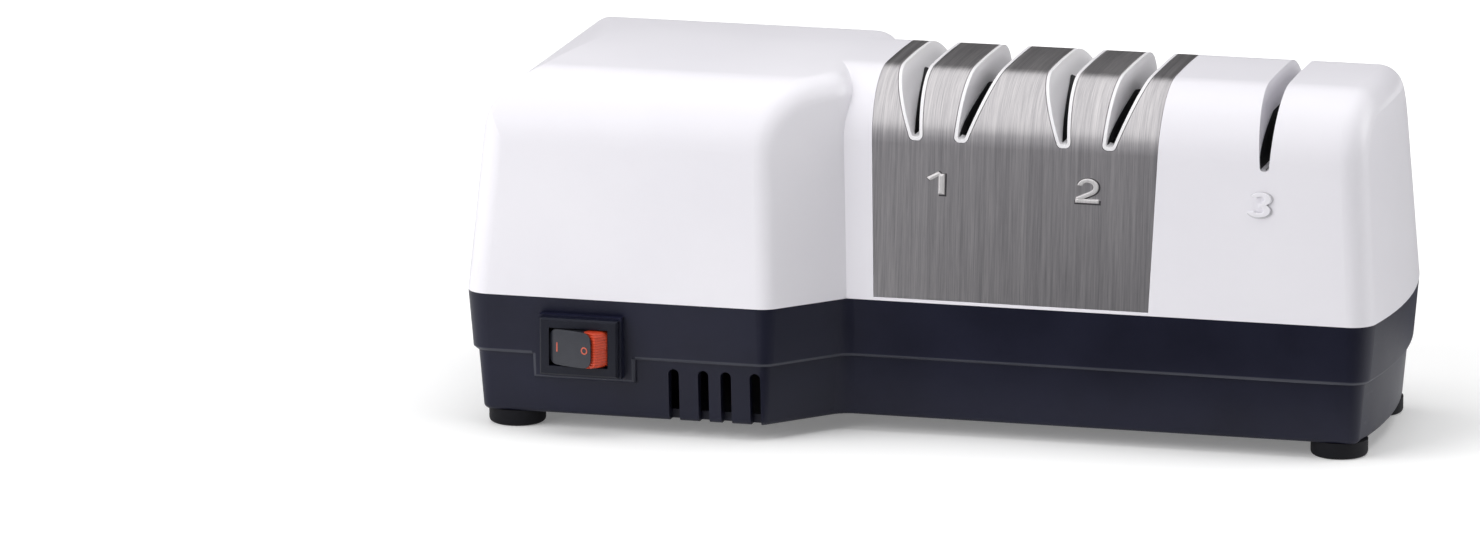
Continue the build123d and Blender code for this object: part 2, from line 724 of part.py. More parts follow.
def vent_cut(x, y, side):
    """One cooling slot in the lower band, open downward."""
    y_in = y + side * (band_step + shift_base + wall + 1.0)
    y_out = y - side * 2.0
    y0, y1 = min(y_in, y_out), max(y_in, y_out)
    round_z = vent_top_z - vent_w / 2
    return box(x - vent_w / 2, x + vent_w / 2, y0, y1, base_z - 1, round_z) + rod_y(vent_w / 2, x, y0, y1, round_z)


def make_feet():
    feet = []
    for x, y in foot_places():
        pad = rod_z(foot_d / 2, x, y, 0, base_z)
        pad = fillet(pad.edges().sort_by(Axis.Z)[0], 1.2)
        feet.append(pad + rod_z(foot_stem_d / 2, x, y, base_z - 0.5, floor_top + 1.5))
    return Compound(feet)


def cross_recess(x, y, face_z):
    """Two crossed grooves, half below and half above the face of a screw's head."""
    low = face_z - cross_h
    high = face_z + cross_h
    one = box(x - cross_l / 2, x + cross_l / 2, y - cross_w / 2, y + cross_w / 2, low, high)
    return one + box(x - cross_w / 2, x + cross_w / 2, y - cross_l / 2, y + cross_l / 2, low, high)


def screw_up(x, y, tip_z):
    """A screw that is driven in from below, with its head in a counterbore of the base."""
    shoulder_z = base_z + screw_sink
    head_z = shoulder_z - screw_head_h
    head = rod_z(screw_head_d / 2, x, y, head_z, shoulder_z)
    head = chamfer(head.edges().sort_by(Axis.Z)[0], 0.5)
    return head + rod_z(screw_d / 2, x, y, shoulder_z - 0.5, tip_z) - cross_recess(x, y, head_z)


def make_hood_screws():
    return Compound([screw_up(x, y, parting_z + screw_bite) for x, y, _, _ in screw_places()])


def make_motor_screws():
    return Compound([screw_up(motor_x, shaft_y + s * mount_y, stack_leg_z + mount_depth) for s in (-1, 1)])


# ---- switch ----------------------------------------------------------------------------
def make_switch_body():
    bezel = box(switch_x - bezel_w / 2, switch_x + bezel_w / 2, bezel_y, bezel_y + bezel_t,
                switch_z - bezel_h / 2, switch_z + bezel_h / 2)
    front = bezel.edges().filter_by(lambda e: abs(e.center().Y - bezel_y) < 0.01)
    bezel = chamfer(front, 0.5)
    shell = box(switch_x - switch_body_w / 2, switch_x + switch_body_w / 2, bezel_y + bezel_t - 0.5,
                bezel_y + bezel_t + switch_body_l, switch_z - switch_body_h / 2, switch_z + switch_body_h / 2)
    cavity_w = rocker_r + free_gap
    cavity_h = rocker_h / 2 + free_gap
    mouth = rod_z(cavity_w, switch_x, pivot_y, switch_z - cavity_h, switch_z + cavity_h)
    cavity = box(switch_x - cavity_w, switch_x + cavity_w, bezel_y + bezel_t, pivot_y + 6.0,
                 switch_z - cavity_h, switch_z + cavity_h)
    stub = rod_z(rocker_pin_d / 2 + run_gap, switch_x, pivot_y, switch_z - cavity_h - 0.7,
                 switch_z + cavity_h + 0.7)
    return bezel + shell - mouth - cavity - stub


def rocker_form(face_r, back):
    """Round flanks about the pivot, cut by the flat face."""
    disc = rod_z(rocker_r, switch_x, pivot_y, switch_z - rocker_h / 2, switch_z + rocker_h / 2)
    disc = fillet(disc.edges().filter_by(GeomType.CIRCLE), rocker_corner_r)
    cut = box(switch_x - rocker_r, switch_x + rocker_r, pivot_y - face_r, pivot_y + back, switch_z - rocker_h,
              switch_z + rocker_h)
    return disc & cut


def tilted(shape):
    """The rest pose: left end pressed in, right end standing out."""
    return Pos(switch_x, pivot_y, 0) * Rot(0, 0, -rocker_tilt) * Pos(-switch_x, -pivot_y, 0) * shape


def make_rocker():
    body = rocker_form(rocker_face_r - rocker_cap_t, 1.0)
    pin_half = rocker_h / 2 + 0.8
    pins = rod_z(rocker_pin_d / 2, switch_x, pivot_y, switch_z - pin_half, switch_z + pin_half)
    plunger = box(switch_x - 1.2, switch_x + 1.2, pivot_y, pivot_y + 3.2, switch_z - 1.5, switch_z + 1.5)
    return tilted(body + pins + plunger)


def make_rocker_cap():
    return tilted(rocker_form(rocker_face_r, -(rocker_face_r - rocker_cap_t)))


def make_terminals():
    back = bezel_y + bezel_t + switch_body_l
    blades = []
    for i in (-1, 0, 1):
        x = switch_x + i * terminal_pitch
        blades.append(box(x - 0.4, x + 0.4, back, back + terminal_l, switch_z - 2.4, switch_z + 2.4))
    return Compound(blades)


# ---- motor and shaft -------------------------------------------------------------------
def shading_loop(side, grow=0.0):
    """A copper loop round one pole tip, square wire; side picks the pole."""
    y_a = shaft_y + side * (rotor_d / 2 + air_gap + ring_w)
    z_mid = shaft_z + side * (rotor_d / 2 - 8.0)
    w = ring_w + 2 * grow
    outer = Pos(motor_x, y_a, z_mid) * Box(stack_l + 2 * w, w, 2 * ring_half_h + w)
    inner = Pos(motor_x, y_a, z_mid) * Box(stack_l - 2 * grow, w + 1, 2 * ring_half_h - w)
    return outer - inner


def make_stack():
    core = box(stack_x0, stack_x1, shaft_y - stack_w / 2, shaft_y + stack_w / 2, stack_leg_z,
               shaft_z + stack_top)
    uprights = core.edges().filter_by(Axis.X)
    core = fillet(uprights, 2.0)
    core = core - rod_x(rotor_d / 2 + air_gap, stack_x0 - 1, stack_x1 + 1)
    window_top = shaft_z - rotor_d / 2 + 1.0
    core = core - box(stack_x0 - 1, stack_x1 + 1, shaft_y - coil_half_w - 1.0, shaft_y + coil_half_w + 1.0,
                      stack_leg_z + stack_leg_h, window_top)
    for side in (-1, 1):
        core = core - rod_x(bolt_d / 2 + part_gap, stack_x0 - 1, stack_x1 + 1, shaft_y + side * bolt_y)
        core = core - rod_z(screw_d / 2 + screw_play, motor_x, shaft_y + side * mount_y, stack_leg_z - 1,
                            stack_leg_z + mount_depth + 1)
        core = core - shading_loop(side, part_gap)
    return core


def make_bobbin():
    leg_z0 = stack_leg_z - part_gap
    leg_z1 = stack_leg_z + stack_leg_h + part_gap
    tube = box(stack_x0 - bobbin_wall, stack_x1 + bobbin_wall, shaft_y - coil_half_w, shaft_y + coil_half_w,
               leg_z0 - bobbin_wall, leg_z1 + bobbin_wall)
    flanges = None
    reach = coil_build - 1.0
    for side in (-1, 1):
        y_a = shaft_y + side * coil_half_w
        y_b = shaft_y + side * (coil_half_w - bobbin_flange)
        f = box(stack_x0 - reach, stack_x1 + reach, min(y_a, y_b), max(y_a, y_b), leg_z0 - reach, leg_z1 + reach)
        flanges = f if flanges is None else flanges + f
    hole = box(stack_x0 - part_gap, stack_x1 + part_gap, shaft_y - 20, shaft_y + 20, leg_z0, leg_z1)
    return tube + flanges - hole


def make_winding():
    wall_b = bobbin_wall + part_gap
    leg_z0 = stack_leg_z - part_gap - wall_b
    leg_z1 = stack_leg_z + stack_leg_h + part_gap + wall_b
    half = coil_half_w - bobbin_flange - part_gap
    reach = coil_build - wall_b - coil_in
    outer = box(stack_x0 - wall_b - reach, stack_x1 + wall_b + reach, shaft_y - half, shaft_y + half,
                leg_z0 - reach, leg_z1 + reach)
    outer = fillet(outer.edges().filter_by(Axis.Y), 3.0)
    inner = box(stack_x0 - wall_b, stack_x1 + wall_b, shaft_y - half - 1, shaft_y + half + 1, leg_z0, leg_z1)
    return outer - inner


def pin_xs():
    return [x + side * (disk_end_x - pin_d / 2 - pin_inset) for x in stage_xs for side in (-1, 1)]


def make_shaft():
    shaft = rod_x(shaft_d / 2, shaft_left_x, shaft_right_x)
    shaft = chamfer(shaft.edges(), 0.5)
    for x in pin_xs():
        shaft = shaft - rod_z(pin_d / 2 + fit_gap, x, shaft_y, shaft_z - 10, shaft_z + 10)
    return shaft


def make_pins():
    half = disk_hub_d / 2 - 0.5
    return Compound([rod_z(pin_d / 2, x, shaft_y, shaft_z - half, shaft_z + half) for x in pin_xs()])


def make_rotor():
    bore = shaft_d / 2 + fit_gap
    return turned_x([(stack_x0, bore), (stack_x1, bore), (stack_x1, rotor_d / 2), (stack_x0, rotor_d / 2)])


def make_end_rings():
    ring_l = 4.0
    low = 8.0
    high = rotor_d / 2 - 0.6
    left = turned_x([(stack_x0 - ring_l, low), (stack_x0, low), (stack_x0, high), (stack_x0 - ring_l, high)])
    right = turned_x([(stack_x1, low), (stack_x1 + ring_l, low), (stack_x1 + ring_l, high), (stack_x1, high)])
    return Compound([left, right])


def make_fan():
    bore = shaft_d / 2 + fit_gap
    back_x = fan_x1 - fan_disc_t
    hub = turned_x([(fan_x0, bore), (fan_x1, bore), (fan_x1, fan_hub_r), (fan_x0, fan_hub_r)])
    disc = turned_x([(back_x, fan_hub_r - 1), (fan_x1, fan_hub_r - 1), (fan_x1, fan_d / 2), (back_x, fan_d / 2)])
    fan = hub + disc
    blade = box(fan_x0, fan_x1 - 0.5, shaft_y - fan_blade_t / 2, shaft_y + fan_blade_t / 2,
                shaft_z + fan_hub_r - 0.5, shaft_z + fan_d / 2 - 0.5)
    for i in range(fan_blades):
        turn = Pos(0, shaft_y, shaft_z) * Rot(i * 360 / fan_blades, 0, 0) * Pos(0, -shaft_y, -shaft_z)
        fan = fan + turn * blade
    return fan


def make_strap(side):
    """Bearing strap on the left (-1) or right (1) of the stack."""
    face = stack_x0 - strap_reach if side < 0 else stack_x1 + strap_reach
    x0, x1 = (face - strap_t, face) if side < 0 else (face, face + strap_t)
    mid = (x0 + x1) / 2
    plate = box(x0, x1, shaft_y - stack_w / 2, shaft_y + stack_w / 2, shaft_z - strap_h / 2, shaft_z + strap_h / 2)
    plate = fillet(plate.edges().filter_by(Axis.X), 4.0)
    cup = rod_x(bush_d / 2 + bush_wall, mid - bush_l / 2 + 0.5, mid + bush_l / 2 - 0.5)
    strap = plate + cup - rod_x(bush_d / 2 + fit_gap, mid - bush_l, mid + bush_l)
    for s in (-1, 1):
        strap = strap - rod_x(bolt_d / 2 + part_gap, x0 - 1, x1 + 1, shaft_y + s * bolt_y)
    return strap


def bush(mid):
    bore = shaft_d / 2 + run_gap
    a = mid - bush_l / 2
    b = mid + bush_l / 2
    return turned_x([(a, bore), (b, bore), (b, bush_d / 2), (a, bush_d / 2)])


def make_motor_bushes():
    return Compound([bush(stack_x0 - strap_reach - strap_t / 2), bush(stack_x1 + strap_reach + strap_t / 2)])


def make_bolts():
    bolts = []
    a = stack_x0 - strap_reach - strap_t
    b = stack_x1 + strap_reach + strap_t
    for s in (-1, 1):
        y = shaft_y + s * bolt_y
        shank = rod_x(bolt_d / 2, a - 1, b + bolt_nut_h + 1.4, y)
        bolts.append(shank + rod_x(bolt_head_r, a - bolt_head_h, a, y) + rod_x(bolt_nut_r, b, b + bolt_nut_h, y))
    return Compound(bolts)


def make_spacers():
    tubes = []
    for s in (-1, 1):
        y = shaft_y + s * bolt_y
        for a, b in ((stack_x0 - strap_reach, stack_x0), (stack_x1, stack_x1 + strap_reach)):
            tubes.append(rod_x(spacer_r, a, b, y) - rod_x(bolt_d / 2 + part_gap, a - 1, b + 1, y))
    return Compound(tubes)


def make_pads():
    pads = []
    for side in (-1, 1):
        y_a = shaft_y + side * saddle_in
        y_b = shaft_y + side * stack_w / 2
        pad = box(motor_x - saddle_half_l, motor_x + saddle_half_l, min(y_a, y_b), max(y_a, y_b),
                  stack_leg_z - pad_t, stack_leg_z)
        pads.append(pad - rod_z(screw_d / 2 + part_gap, motor_x, shaft_y + side * mount_y, base_z, shaft_z))
    return Compound(pads)


# ---- sharpening stages -----------------------------------------------------------------
def disk_inner(r):
    return disk_rim_x - disk_t + disk_cone * (disk_r - r) / (disk_r - disk_hub_d / 2)


def make_disk(stage_x, side):
    """A steel disk with an abrasive cone on its outer face and a hub slotted for the pin."""
    bore = shaft_d / 2 + run_gap
    hub_r = disk_hub_d / 2
    rim = disk_rim_x
    mid = disk_rim_x + disk_cone
    section = [
        (disk_inner(hub_r), bore), (disk_end_x, bore), (disk_end_x, hub_r), (mid, hub_r), (rim, disk_r),
        (rim - disk_t, disk_r), (disk_inner(hub_r), hub_r),
    ]
    disk = turned_x(section, stage_x, side)
    pin_x = stage_x + side * (disk_end_x - pin_d / 2 - pin_inset)
    slot_in = stage_x + side * (disk_end_x + 1.0)
    groove = box(min(pin_x, slot_in), max(pin_x, slot_in), shaft_y - pin_d / 2 - run_gap,
                 shaft_y + pin_d / 2 + run_gap, shaft_z - 10, shaft_z + 10)
    round_end = rod_z(pin_d / 2 + run_gap, pin_x, shaft_y, shaft_z - 10, shaft_z + 10)
    return disk - groove - round_end


def make_disk_spring(stage_x):
    """Open compression spring between the two disks of a stage."""
    half = disk_inner(disk_hub_d / 2) - 0.1
    rest = 2 * half - disk_spring_wire
    radius = (disk_spring_d - disk_spring_wire) / 2
    path = Helix(pitch=rest / disk_spring_turns, height=rest, radius=radius)
    start = path.position_at(0)
    wire = Plane(origin=start, z_dir=path.tangent_at(0)) * Circle(disk_spring_wire / 2)
    coil = sweep(wire, path=path, is_frenet=True)
    return Pos(stage_x - rest / 2, shaft_y, shaft_z) * Rot(0, 90, 0) * coil


# ---- mechanism frame -------------------------------------------------------------------
def make_frame():
    deck = box(frame_left_x, frame_right_x, shaft_y - frame_half_w, shaft_y + frame_half_w,
               frame_z - frame_t, frame_z)
    deck = fillet(deck.edges().filter_by(Axis.Z), 5.0)
    chute = box(hatch_x0, hatch_x1, shaft_y - hatch_half_w, shaft_y + hatch_half_w, frame_z - 5, frame_z + 1)
    frame = deck - chute
    post = box(end_wall_x, end_wall_x + end_wall_t, shaft_y - end_wall_half, shaft_y + end_wall_half, frame_z - 1,
               shaft_z + end_wall_half - 4)
    post = fillet(post.edges().filter_by(Axis.X).sort_by(Axis.Z)[-2:], end_wall_half * 0.6)
    ribs = []
    for side in (-1, 1):
        y_a = shaft_y + side * (end_wall_half - 1.0)
        y_b = y_a - side * frame_t
        ribs.append(box(end_wall_x + end_wall_t - 1, end_wall_x + end_wall_t + 6, min(y_a, y_b), max(y_a, y_b),
                        frame_z - 1, frame_z + 14))
    boss = rod_x(bush_d / 2 + bush_wall, end_wall_x, end_wall_x + bush_l - 1.0)
    tower = box(tower_x0, tower_x1, shaft_y - tower_half_w, shaft_y + tower_half_w, frame_z - 1, cartridge_z)
    inner_w = tower_half_w - tower_t
    hollow = box(tower_x0 + tower_t, tower_x1 - tower_t, shaft_y - inner_w, shaft_y + inner_w, frame_z - 5,
                 cartridge_z - tower_t)
    frame = frame + post + ribs[0] + ribs[1] + boss + tower - hollow
    frame = frame - rod_x(bush_d / 2 + fit_gap, end_wall_x - 5, end_wall_x + bush_l + 5)
    for x in frame_post_xs:
        for side in (-1, 1):
            frame = frame - rod_z(screw_d / 2 + part_gap, x, shaft_y + side * frame_post_y, frame_z - 10,
                                  frame_z + 5)
    return frame


def make_frame_screws():
    screws = []
    for x in frame_post_xs:
        for side in (-1, 1):
            y = shaft_y + side * frame_post_y
            screws.append(rod_z(screw_head_d / 2, x, y, frame_z, frame_z + screw_head_h)
                          + rod_z(screw_d / 2, x, y, frame_z - frame_t - frame_post_l, frame_z + 0.5)
                          - cross_recess(x, y, frame_z + screw_head_h))
    return Compound(screws)


def make_cartridge():
    """U-shaped carrier of the manual wheels, on top of the frame's tower."""
    u = box(slot_3_x - cartridge_half, slot_3_x + cartridge_half, shaft_y - cartridge_half_w,
            shaft_y + cartridge_half_w, cartridge_z, wheel_axis_z + cartridge_reach)
    gap = cartridge_half - cartridge_wall
    u = fillet(u.edges().filter_by(Axis.X).sort_by(Axis.Z)[-2:], 5.0)
    inner = box(slot_3_x - gap, slot_3_x + gap, shaft_y - 20, shaft_y + 20,
                cartridge_z + cartridge_floor_t, hood_top)
    hole = rod_x(axle_d / 2 + fit_gap, slot_3_x - 20, slot_3_x + 20, shaft_y, wheel_axis_z)
    return u - inner - hole


def make_axle():
    half = cartridge_half + wheel_side_gap
    return chamfer(rod_x(axle_d / 2, slot_3_x - half, slot_3_x + half, shaft_y, wheel_axis_z).edges(), 0.3)


def make_wheel(side):
    """Bevelled wheel; the pair leaves a V for the edge of the blade."""
    bore = axle_d / 2 + run_gap
    bevel = wheel_r - wheel_notch_r
    near = wheel_side_gap
    far = wheel_side_gap + wheel_w
    section = [(near, bore), (near, wheel_notch_r), (near + bevel, wheel_r), (far, wheel_r), (far, bore)]
    drop = Pos(0, 0, wheel_axis_z - shaft_z)
    return drop * turned_x(section, slot_3_x, side)


# ---- clean-out door, gland, leads ------------------------------------------------------
def make_door():
    door = box(door_left_x, door_left_x + door_l, shaft_y - door_half_w, shaft_y + door_half_w, door_z,
               door_z + door_t)
    for i in range(grip_ribs):
        x = hatch_x0 + 4.0 + grip_pitch * i
        door = door + box(x, x + grip_w, shaft_y - grip_half_l, shaft_y + grip_half_l, door_z - grip_h, door_z + 0.5)
    return door


def make_magnet():
    x = door_left_x + door_l / 2
    z = door_z + door_t
    return box(x - magnet_half_l, x + magnet_half_l, shaft_y - magnet_half_w, shaft_y + magnet_half_w, z,
               z + magnet_t)


def make_gland():
    """Bush in the back wall for the mains lead, which is not part of this model."""
    face_y = motor_back_y - band_step - (parting_z - gland_z) * math.tan(math.radians(draft))
    lip_y = face_y + 0.8
    tube = rod_y(gland_d / 2, gland_x, face_y - gland_l, lip_y + 0.2, gland_z)
    lip = rod_y(gland_d / 2 + gland_lip, gland_x, lip_y, lip_y + gland_lip_t, gland_z)
    return tube + lip - rod_y(gland_bore / 2, gland_x, face_y - 20, face_y + 10, gland_z)


def make_leads():
    """Two insulated leads from the switch terminals to the coil."""
    y0 = bezel_y + bezel_t + switch_body_l + terminal_l
    y1 = shaft_y - coil_half_w
    coil_x = stack_x0 - 4.5
    leads = []
    for i, x in enumerate((switch_x - terminal_pitch, switch_x)):
        z_end = stack_leg_z + 5.0 + 6.0 * i
        points = [(x, y0, switch_z), (x, y0 + 3.5, switch_z), (coil_x, y0 + 9.0, z_end), (coil_x, y1, z_end)]
        path = FilletPolyline(*points, radius=2.6)
        ring = Plane(origin=path.position_at(0), z_dir=path.tangent_at(0)) * Circle(lead_r)
        leads.append(sweep(ring, path=path))
    return Compound(leads)


# ---- write every piece -----------------------------------------------------------------
out(make_base(), "base_pan")
out(make_hood(), "hood")
out(make_plate(), "stage_plate")
for number, x in enumerate(stage_xs, 1):
    out(make_insert(x), f"slot_liner_{number}")
    out(make_guide_spring(x), f"guide_spring_{number}")
    out(make_disk(x, -1), f"disk_{number}_left")
    out(make_disk(x, 1), f"disk_{number}_right")
    out(make_disk_spring(x), f"disk_spring_{number}")
out(make_switch_body(), "switch_body")
out(make_rocker(), "rocker")
out(make_rocker_cap(), "rocker_cap")
out(make_terminals(), "switch_terminals")
out(make_feet(), "rubber_feet")
out(make_hood_screws(), "hood_screws")
out(make_motor_screws(), "motor_mount_screws")
out(make_stack(), "motor_stack")
out(Compound([shading_loop(-1), shading_loop(1)]), "shading_rings")
out(make_bobbin(), "coil_bobbin")
out(make_winding(), "coil_winding")
out(make_shaft(), "shaft")
out(make_pins(), "drive_pins")
out(make_rotor(), "rotor_core")
out(make_end_rings(), "rotor_end_rings")
out(make_fan(), "cooling_fan")
out(make_strap(-1), "bearing_strap_left")
out(make_strap(1), "bearing_strap_right")
out(make_motor_bushes(), "motor_bushes")
out(make_bolts(), "motor_bolts")
out(make_spacers(), "motor_spacers")
out(make_pads(), "motor_pads")
out(make_frame(), "mechanism_frame")
out(make_frame_screws(), "frame_screws")
out(bush(end_wall_x + bush_l / 2 - 0.5), "end_bush")
out(make_cartridge(), "wheel_cartridge")
out(make_axle(), "wheel_axle")
out(make_wheel(-1), "wheel_left")
out(make_wheel(1), "wheel_right")
out(make_door(), "clean_out_door")
out(make_magnet(), "filings_magnet")
out(make_gland(), "cord_gland")
out(make_leads(), "lead_wires")
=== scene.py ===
import math

import bmesh
import bpy
from mathutils import Matrix, Vector


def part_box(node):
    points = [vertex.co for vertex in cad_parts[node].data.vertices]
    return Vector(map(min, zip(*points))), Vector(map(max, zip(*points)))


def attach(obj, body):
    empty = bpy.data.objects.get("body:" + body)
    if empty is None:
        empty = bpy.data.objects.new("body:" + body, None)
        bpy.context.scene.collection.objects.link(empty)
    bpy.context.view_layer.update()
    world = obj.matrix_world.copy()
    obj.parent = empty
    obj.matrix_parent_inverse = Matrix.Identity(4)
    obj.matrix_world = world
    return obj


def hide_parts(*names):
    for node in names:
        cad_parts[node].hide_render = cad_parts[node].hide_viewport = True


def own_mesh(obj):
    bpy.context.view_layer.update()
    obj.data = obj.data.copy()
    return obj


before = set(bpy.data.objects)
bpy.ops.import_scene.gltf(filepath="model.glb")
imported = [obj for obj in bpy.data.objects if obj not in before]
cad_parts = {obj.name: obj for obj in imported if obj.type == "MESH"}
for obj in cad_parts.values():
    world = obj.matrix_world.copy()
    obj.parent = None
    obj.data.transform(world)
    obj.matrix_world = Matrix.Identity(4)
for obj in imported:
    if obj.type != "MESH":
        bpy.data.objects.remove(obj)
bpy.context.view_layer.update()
scene = bpy.context.scene


# ---- The table ------------------------------------------------------------------------------
# The sharpener stands on a pale table top that runs on to the horizon. The table is matt
# and nearly white, so it keeps a soft shadow under the base and between the feet.
class Reading:
    """A number inside a finish, on which plain arithmetic adds the Math nodes."""

    def __init__(self, finish, socket):
        self.finish = finish
        self.socket = socket

    def math(self, operation, *terms):
        return self.finish.add("ShaderNodeMath", {"operation": operation}, dict(enumerate(terms)))

    def __add__(self, other):
        return self.math("ADD", self, other)

    def __sub__(self, other):
        return self.math("SUBTRACT", self, other)

    def __rsub__(self, other):
        return self.math("SUBTRACT", other, self)

    def __mul__(self, other):
        return self.math("MULTIPLY", self, other)

    def __truediv__(self, other):
        return self.math("DIVIDE", self, other)

    def __pow__(self, other):
        return self.math("POWER", self, other)

    __radd__ = __add__
    __rmul__ = __mul__

    def size(self):
        return self.math("ABSOLUTE", self)

    def most(self, other):
        return self.math("MAXIMUM", self, other)

    def fraction(self):
        return self.math("FRACT", self)

    def ripple(self, pitch):
        """Waves between 0 and 1 that repeat at each pitch."""
        turn = self * (2 * math.pi / pitch)
        return 0.5 + 0.5 * turn.math("SINE", turn)

    def step(self, low, high):
        """0 below low, 1 above high and smooth between; low may be the larger one."""
        flip = low > high
        bounds = {"From Min": min(low, high), "From Max": max(low, high), "Value": self}
        soft = self.finish.add("ShaderNodeMapRange", {"interpolation_type": "SMOOTHSTEP"}, bounds)
        return 1 - soft if flip else soft


class Finish:
    """One material: a shader with its plain values, and what varies over the surface."""

    def __init__(self, name, **plain):
        self.material = bpy.data.materials.new(name)
        self.material.use_nodes = True
        self.tree = self.material.node_tree
        self.shader = self.tree.nodes["Principled BSDF"]
        for key, value in plain.items():
            self.shader.inputs[key.replace("_", " ")].default_value = value

    def add(self, kind, settings=None, values=None, take=0):
        """A node of that kind; settings come first, then the values or links of its sockets."""
        node = self.tree.nodes.new(kind)
        for key, value in (settings or {}).items():
            setattr(node, key, value)
        for key, value in (values or {}).items():
            if isinstance(value, Reading):
                self.tree.links.new(value.socket, node.inputs[key])
            else:
                node.inputs[key].default_value = value
        return Reading(self, node.outputs[take])

    def feed(self, **varying):
        for key, value in varying.items():
            self.tree.links.new(value.socket, self.shader.inputs[key.replace("_", " ")])

    def point(self):
        """The place on the piece, in metres."""
        return self.add("ShaderNodeTexCoord", take="Object")

    def axes(self):
        """The three coordinates of that place."""
        split = self.tree.nodes.new("ShaderNodeSeparateXYZ")
        self.tree.links.new(self.point().socket, split.inputs[0])
        return [Reading(self, axis) for axis in split.outputs]

    def grain(self, scale, detail=2.0, rough=0.5, squeeze=None, at=None):
        """Fractal noise with a mean of one half.

        Scale is in cells per metre, and squeeze multiplies it along each axis.
        """
        at = at or self.point()
        if squeeze:
            at = self.add("ShaderNodeMapping", {}, {"Vector": at, "Scale": squeeze})
        values = {"Vector": at, "Scale": scale, "Detail": detail, "Roughness": rough}
        return self.add("ShaderNodeTexNoise", {}, values, take="Fac")

    def mixed(self, share, first, second):
        """Colour between the first and the second one."""
        ends = [end if isinstance(end, Reading) else (*end, 1) for end in (first, second)]
        values = {0: share, 6: ends[0], 7: ends[1]}
        return self.add("ShaderNodeMix", {"data_type": "RGBA"}, values, take=2)

    def dents(self, height, reach, strength):
        """A bump from a height between 0 and 1; reach is its depth in metres."""
        values = {"Height": height, "Distance": reach, "Strength": strength}
        return self.add("ShaderNodeBump", {}, values, take="Normal")

    def wear(self, share, first, second, roughness, dents):
        """The usual mix: a colour between two by share, a roughness and a bump."""
        self.feed(Base_Color=self.mixed(share, first, second), Roughness=roughness,
                  Normal=self.dents(*dents))


def seen_share(tree):
    """1 for what the camera sees, straight or in a mirror or glass, and 0 for light."""
    rays = tree.nodes.new("ShaderNodeLightPath").outputs
    share = rays["Is Camera Ray"]
    for kind in ("Is Glossy Ray", "Is Transmission Ray"):
        either = tree.nodes.new("ShaderNodeMath")
        either.operation = "MAXIMUM"
        tree.links.new(share, either.inputs[0])
        tree.links.new(rays[kind], either.inputs[1])
        share = either.outputs[0]
    return share


def piece_from(bm, name):
    """A mesh object at the origin from a finished bmesh."""
    mesh = bpy.data.meshes.new(name)
    bm.to_mesh(mesh)
    bm.free()
    piece = bpy.data.objects.new(name, mesh)
    scene.collection.objects.link(piece)
    return piece


table_reach = 9.0
table_white = (0.92, 0.92, 0.92, 1)
shadow_near, shadow_far, shadow_squeeze = 0.10, 0.50, 0.6
near_lift, far_lift = 0.185, 0.62

table_finish = Finish("table_top", Base_Color=table_white, Roughness=0.9,
                      Specular_IOR_Level=0.1, Emission_Strength=1.0)
x, y, _ = table_finish.axes()
# The table glows for the camera and in mirrors: painted light, faint near the body so that the
# real shadow stays, and strong far off so that the table reads white.
away = ((shadow_squeeze * x) ** 2 + y ** 2) ** 0.5
lift = near_lift + (far_lift - near_lift) * away.step(shadow_near, shadow_far)
seen = Reading(table_finish, seen_share(table_finish.tree))
table_finish.feed(Emission_Color=table_finish.mixed(seen * lift, (0, 0, 0), (1, 1, 1)))
bm = bmesh.new()
bmesh.ops.create_grid(bm, x_segments=2, y_segments=2, size=table_reach)
table = piece_from(bm, "table_top")
table.data.materials.append(table_finish.material)


# ---- The light ------------------------------------------------------------------------------
# One large softbox stands to the front and left, a second hangs overhead, and a smaller one
# fills from the right. Mirrors see the white room in place of the two big ones, and grey cards
# that nothing else sees give the steel its dark bands.
def softbox(name, place, aim, width, height, watts, shows_in_mirrors):
    lamp = bpy.data.lights.new(name, "AREA")
    lamp.shape = "RECTANGLE"
    lamp.size = width
    lamp.size_y = height
    lamp.energy = watts
    box = bpy.data.objects.new(name, lamp)
    box.location = place
    box.rotation_euler = (Vector(aim) - Vector(place)).to_track_quat("-Z", "Y").to_euler()
    box.visible_glossy = shows_in_mirrors
    scene.collection.objects.link(box)


softbox("softbox_front_left", place=(-0.80, -0.85, 0.60), aim=(-0.02, 0.0, 0.05),
        width=1.1, height=1.1, watts=12.8, shows_in_mirrors=False)
softbox("softbox_overhead", place=(0.0, 0.0, 1.10), aim=(0.0, 0.0, 0.05),
        width=1.4, height=0.9, watts=10.0, shows_in_mirrors=False)
softbox("softbox_right", place=(1.25, 0.35, 0.55), aim=(0.0, 0.0, 0.05),
        width=0.7, height=0.7, watts=6.2, shows_in_mirrors=True)

room_light = 0.08
room = bpy.data.worlds.new("room")
room.use_nodes = True
scene.world = room
room_tree = room.node_tree
backdrop = room_tree.nodes["Background"].inputs
level = room_tree.nodes.new("ShaderNodeMapRange")
level.inputs["To Min"].default_value = room_light
level.inputs["To Max"].default_value = 1.0
room_tree.links.new(seen_share(room_tree), level.inputs["Value"])
room_tree.links.new(level.outputs[0], backdrop["Strength"])
backdrop["Color"].default_value = (1, 1, 1, 1)
scene.view_settings.view_transform = "Standard"


def grey_card(name, low, high, grey):
    """A card between two corners, flat along one axis, that shows only in mirrors."""
    bm = bmesh.new()
    bmesh.ops.create_grid(bm, x_segments=1, y_segments=1, size=0.5)
    if low[1] == high[1]:
        bmesh.ops.rotate(bm, verts=bm.verts, matrix=Matrix.Rotation(math.pi / 2, 3, "X"))
    size = [b - a or 1 for a, b in zip(low, high)]
    bmesh.ops.scale(bm, vec=size, verts=bm.verts)
    bmesh.ops.translate(bm, vec=[(a + b) / 2 for a, b in zip(low, high)], verts=bm.verts)
    card = piece_from(bm, name)
    paint = Finish(name, Base_Color=(0, 0, 0, 1), Roughness=1.0, Specular_IOR_Level=0.0,
                   Emission_Color=(grey, grey, grey * 1.04, 1), Emission_Strength=1.0)
    card.data.materials.append(paint.material)
    for kind in ("camera", "diffuse", "transmission", "volume_scatter", "shadow"):
        setattr(card, "visible_" + kind, False)


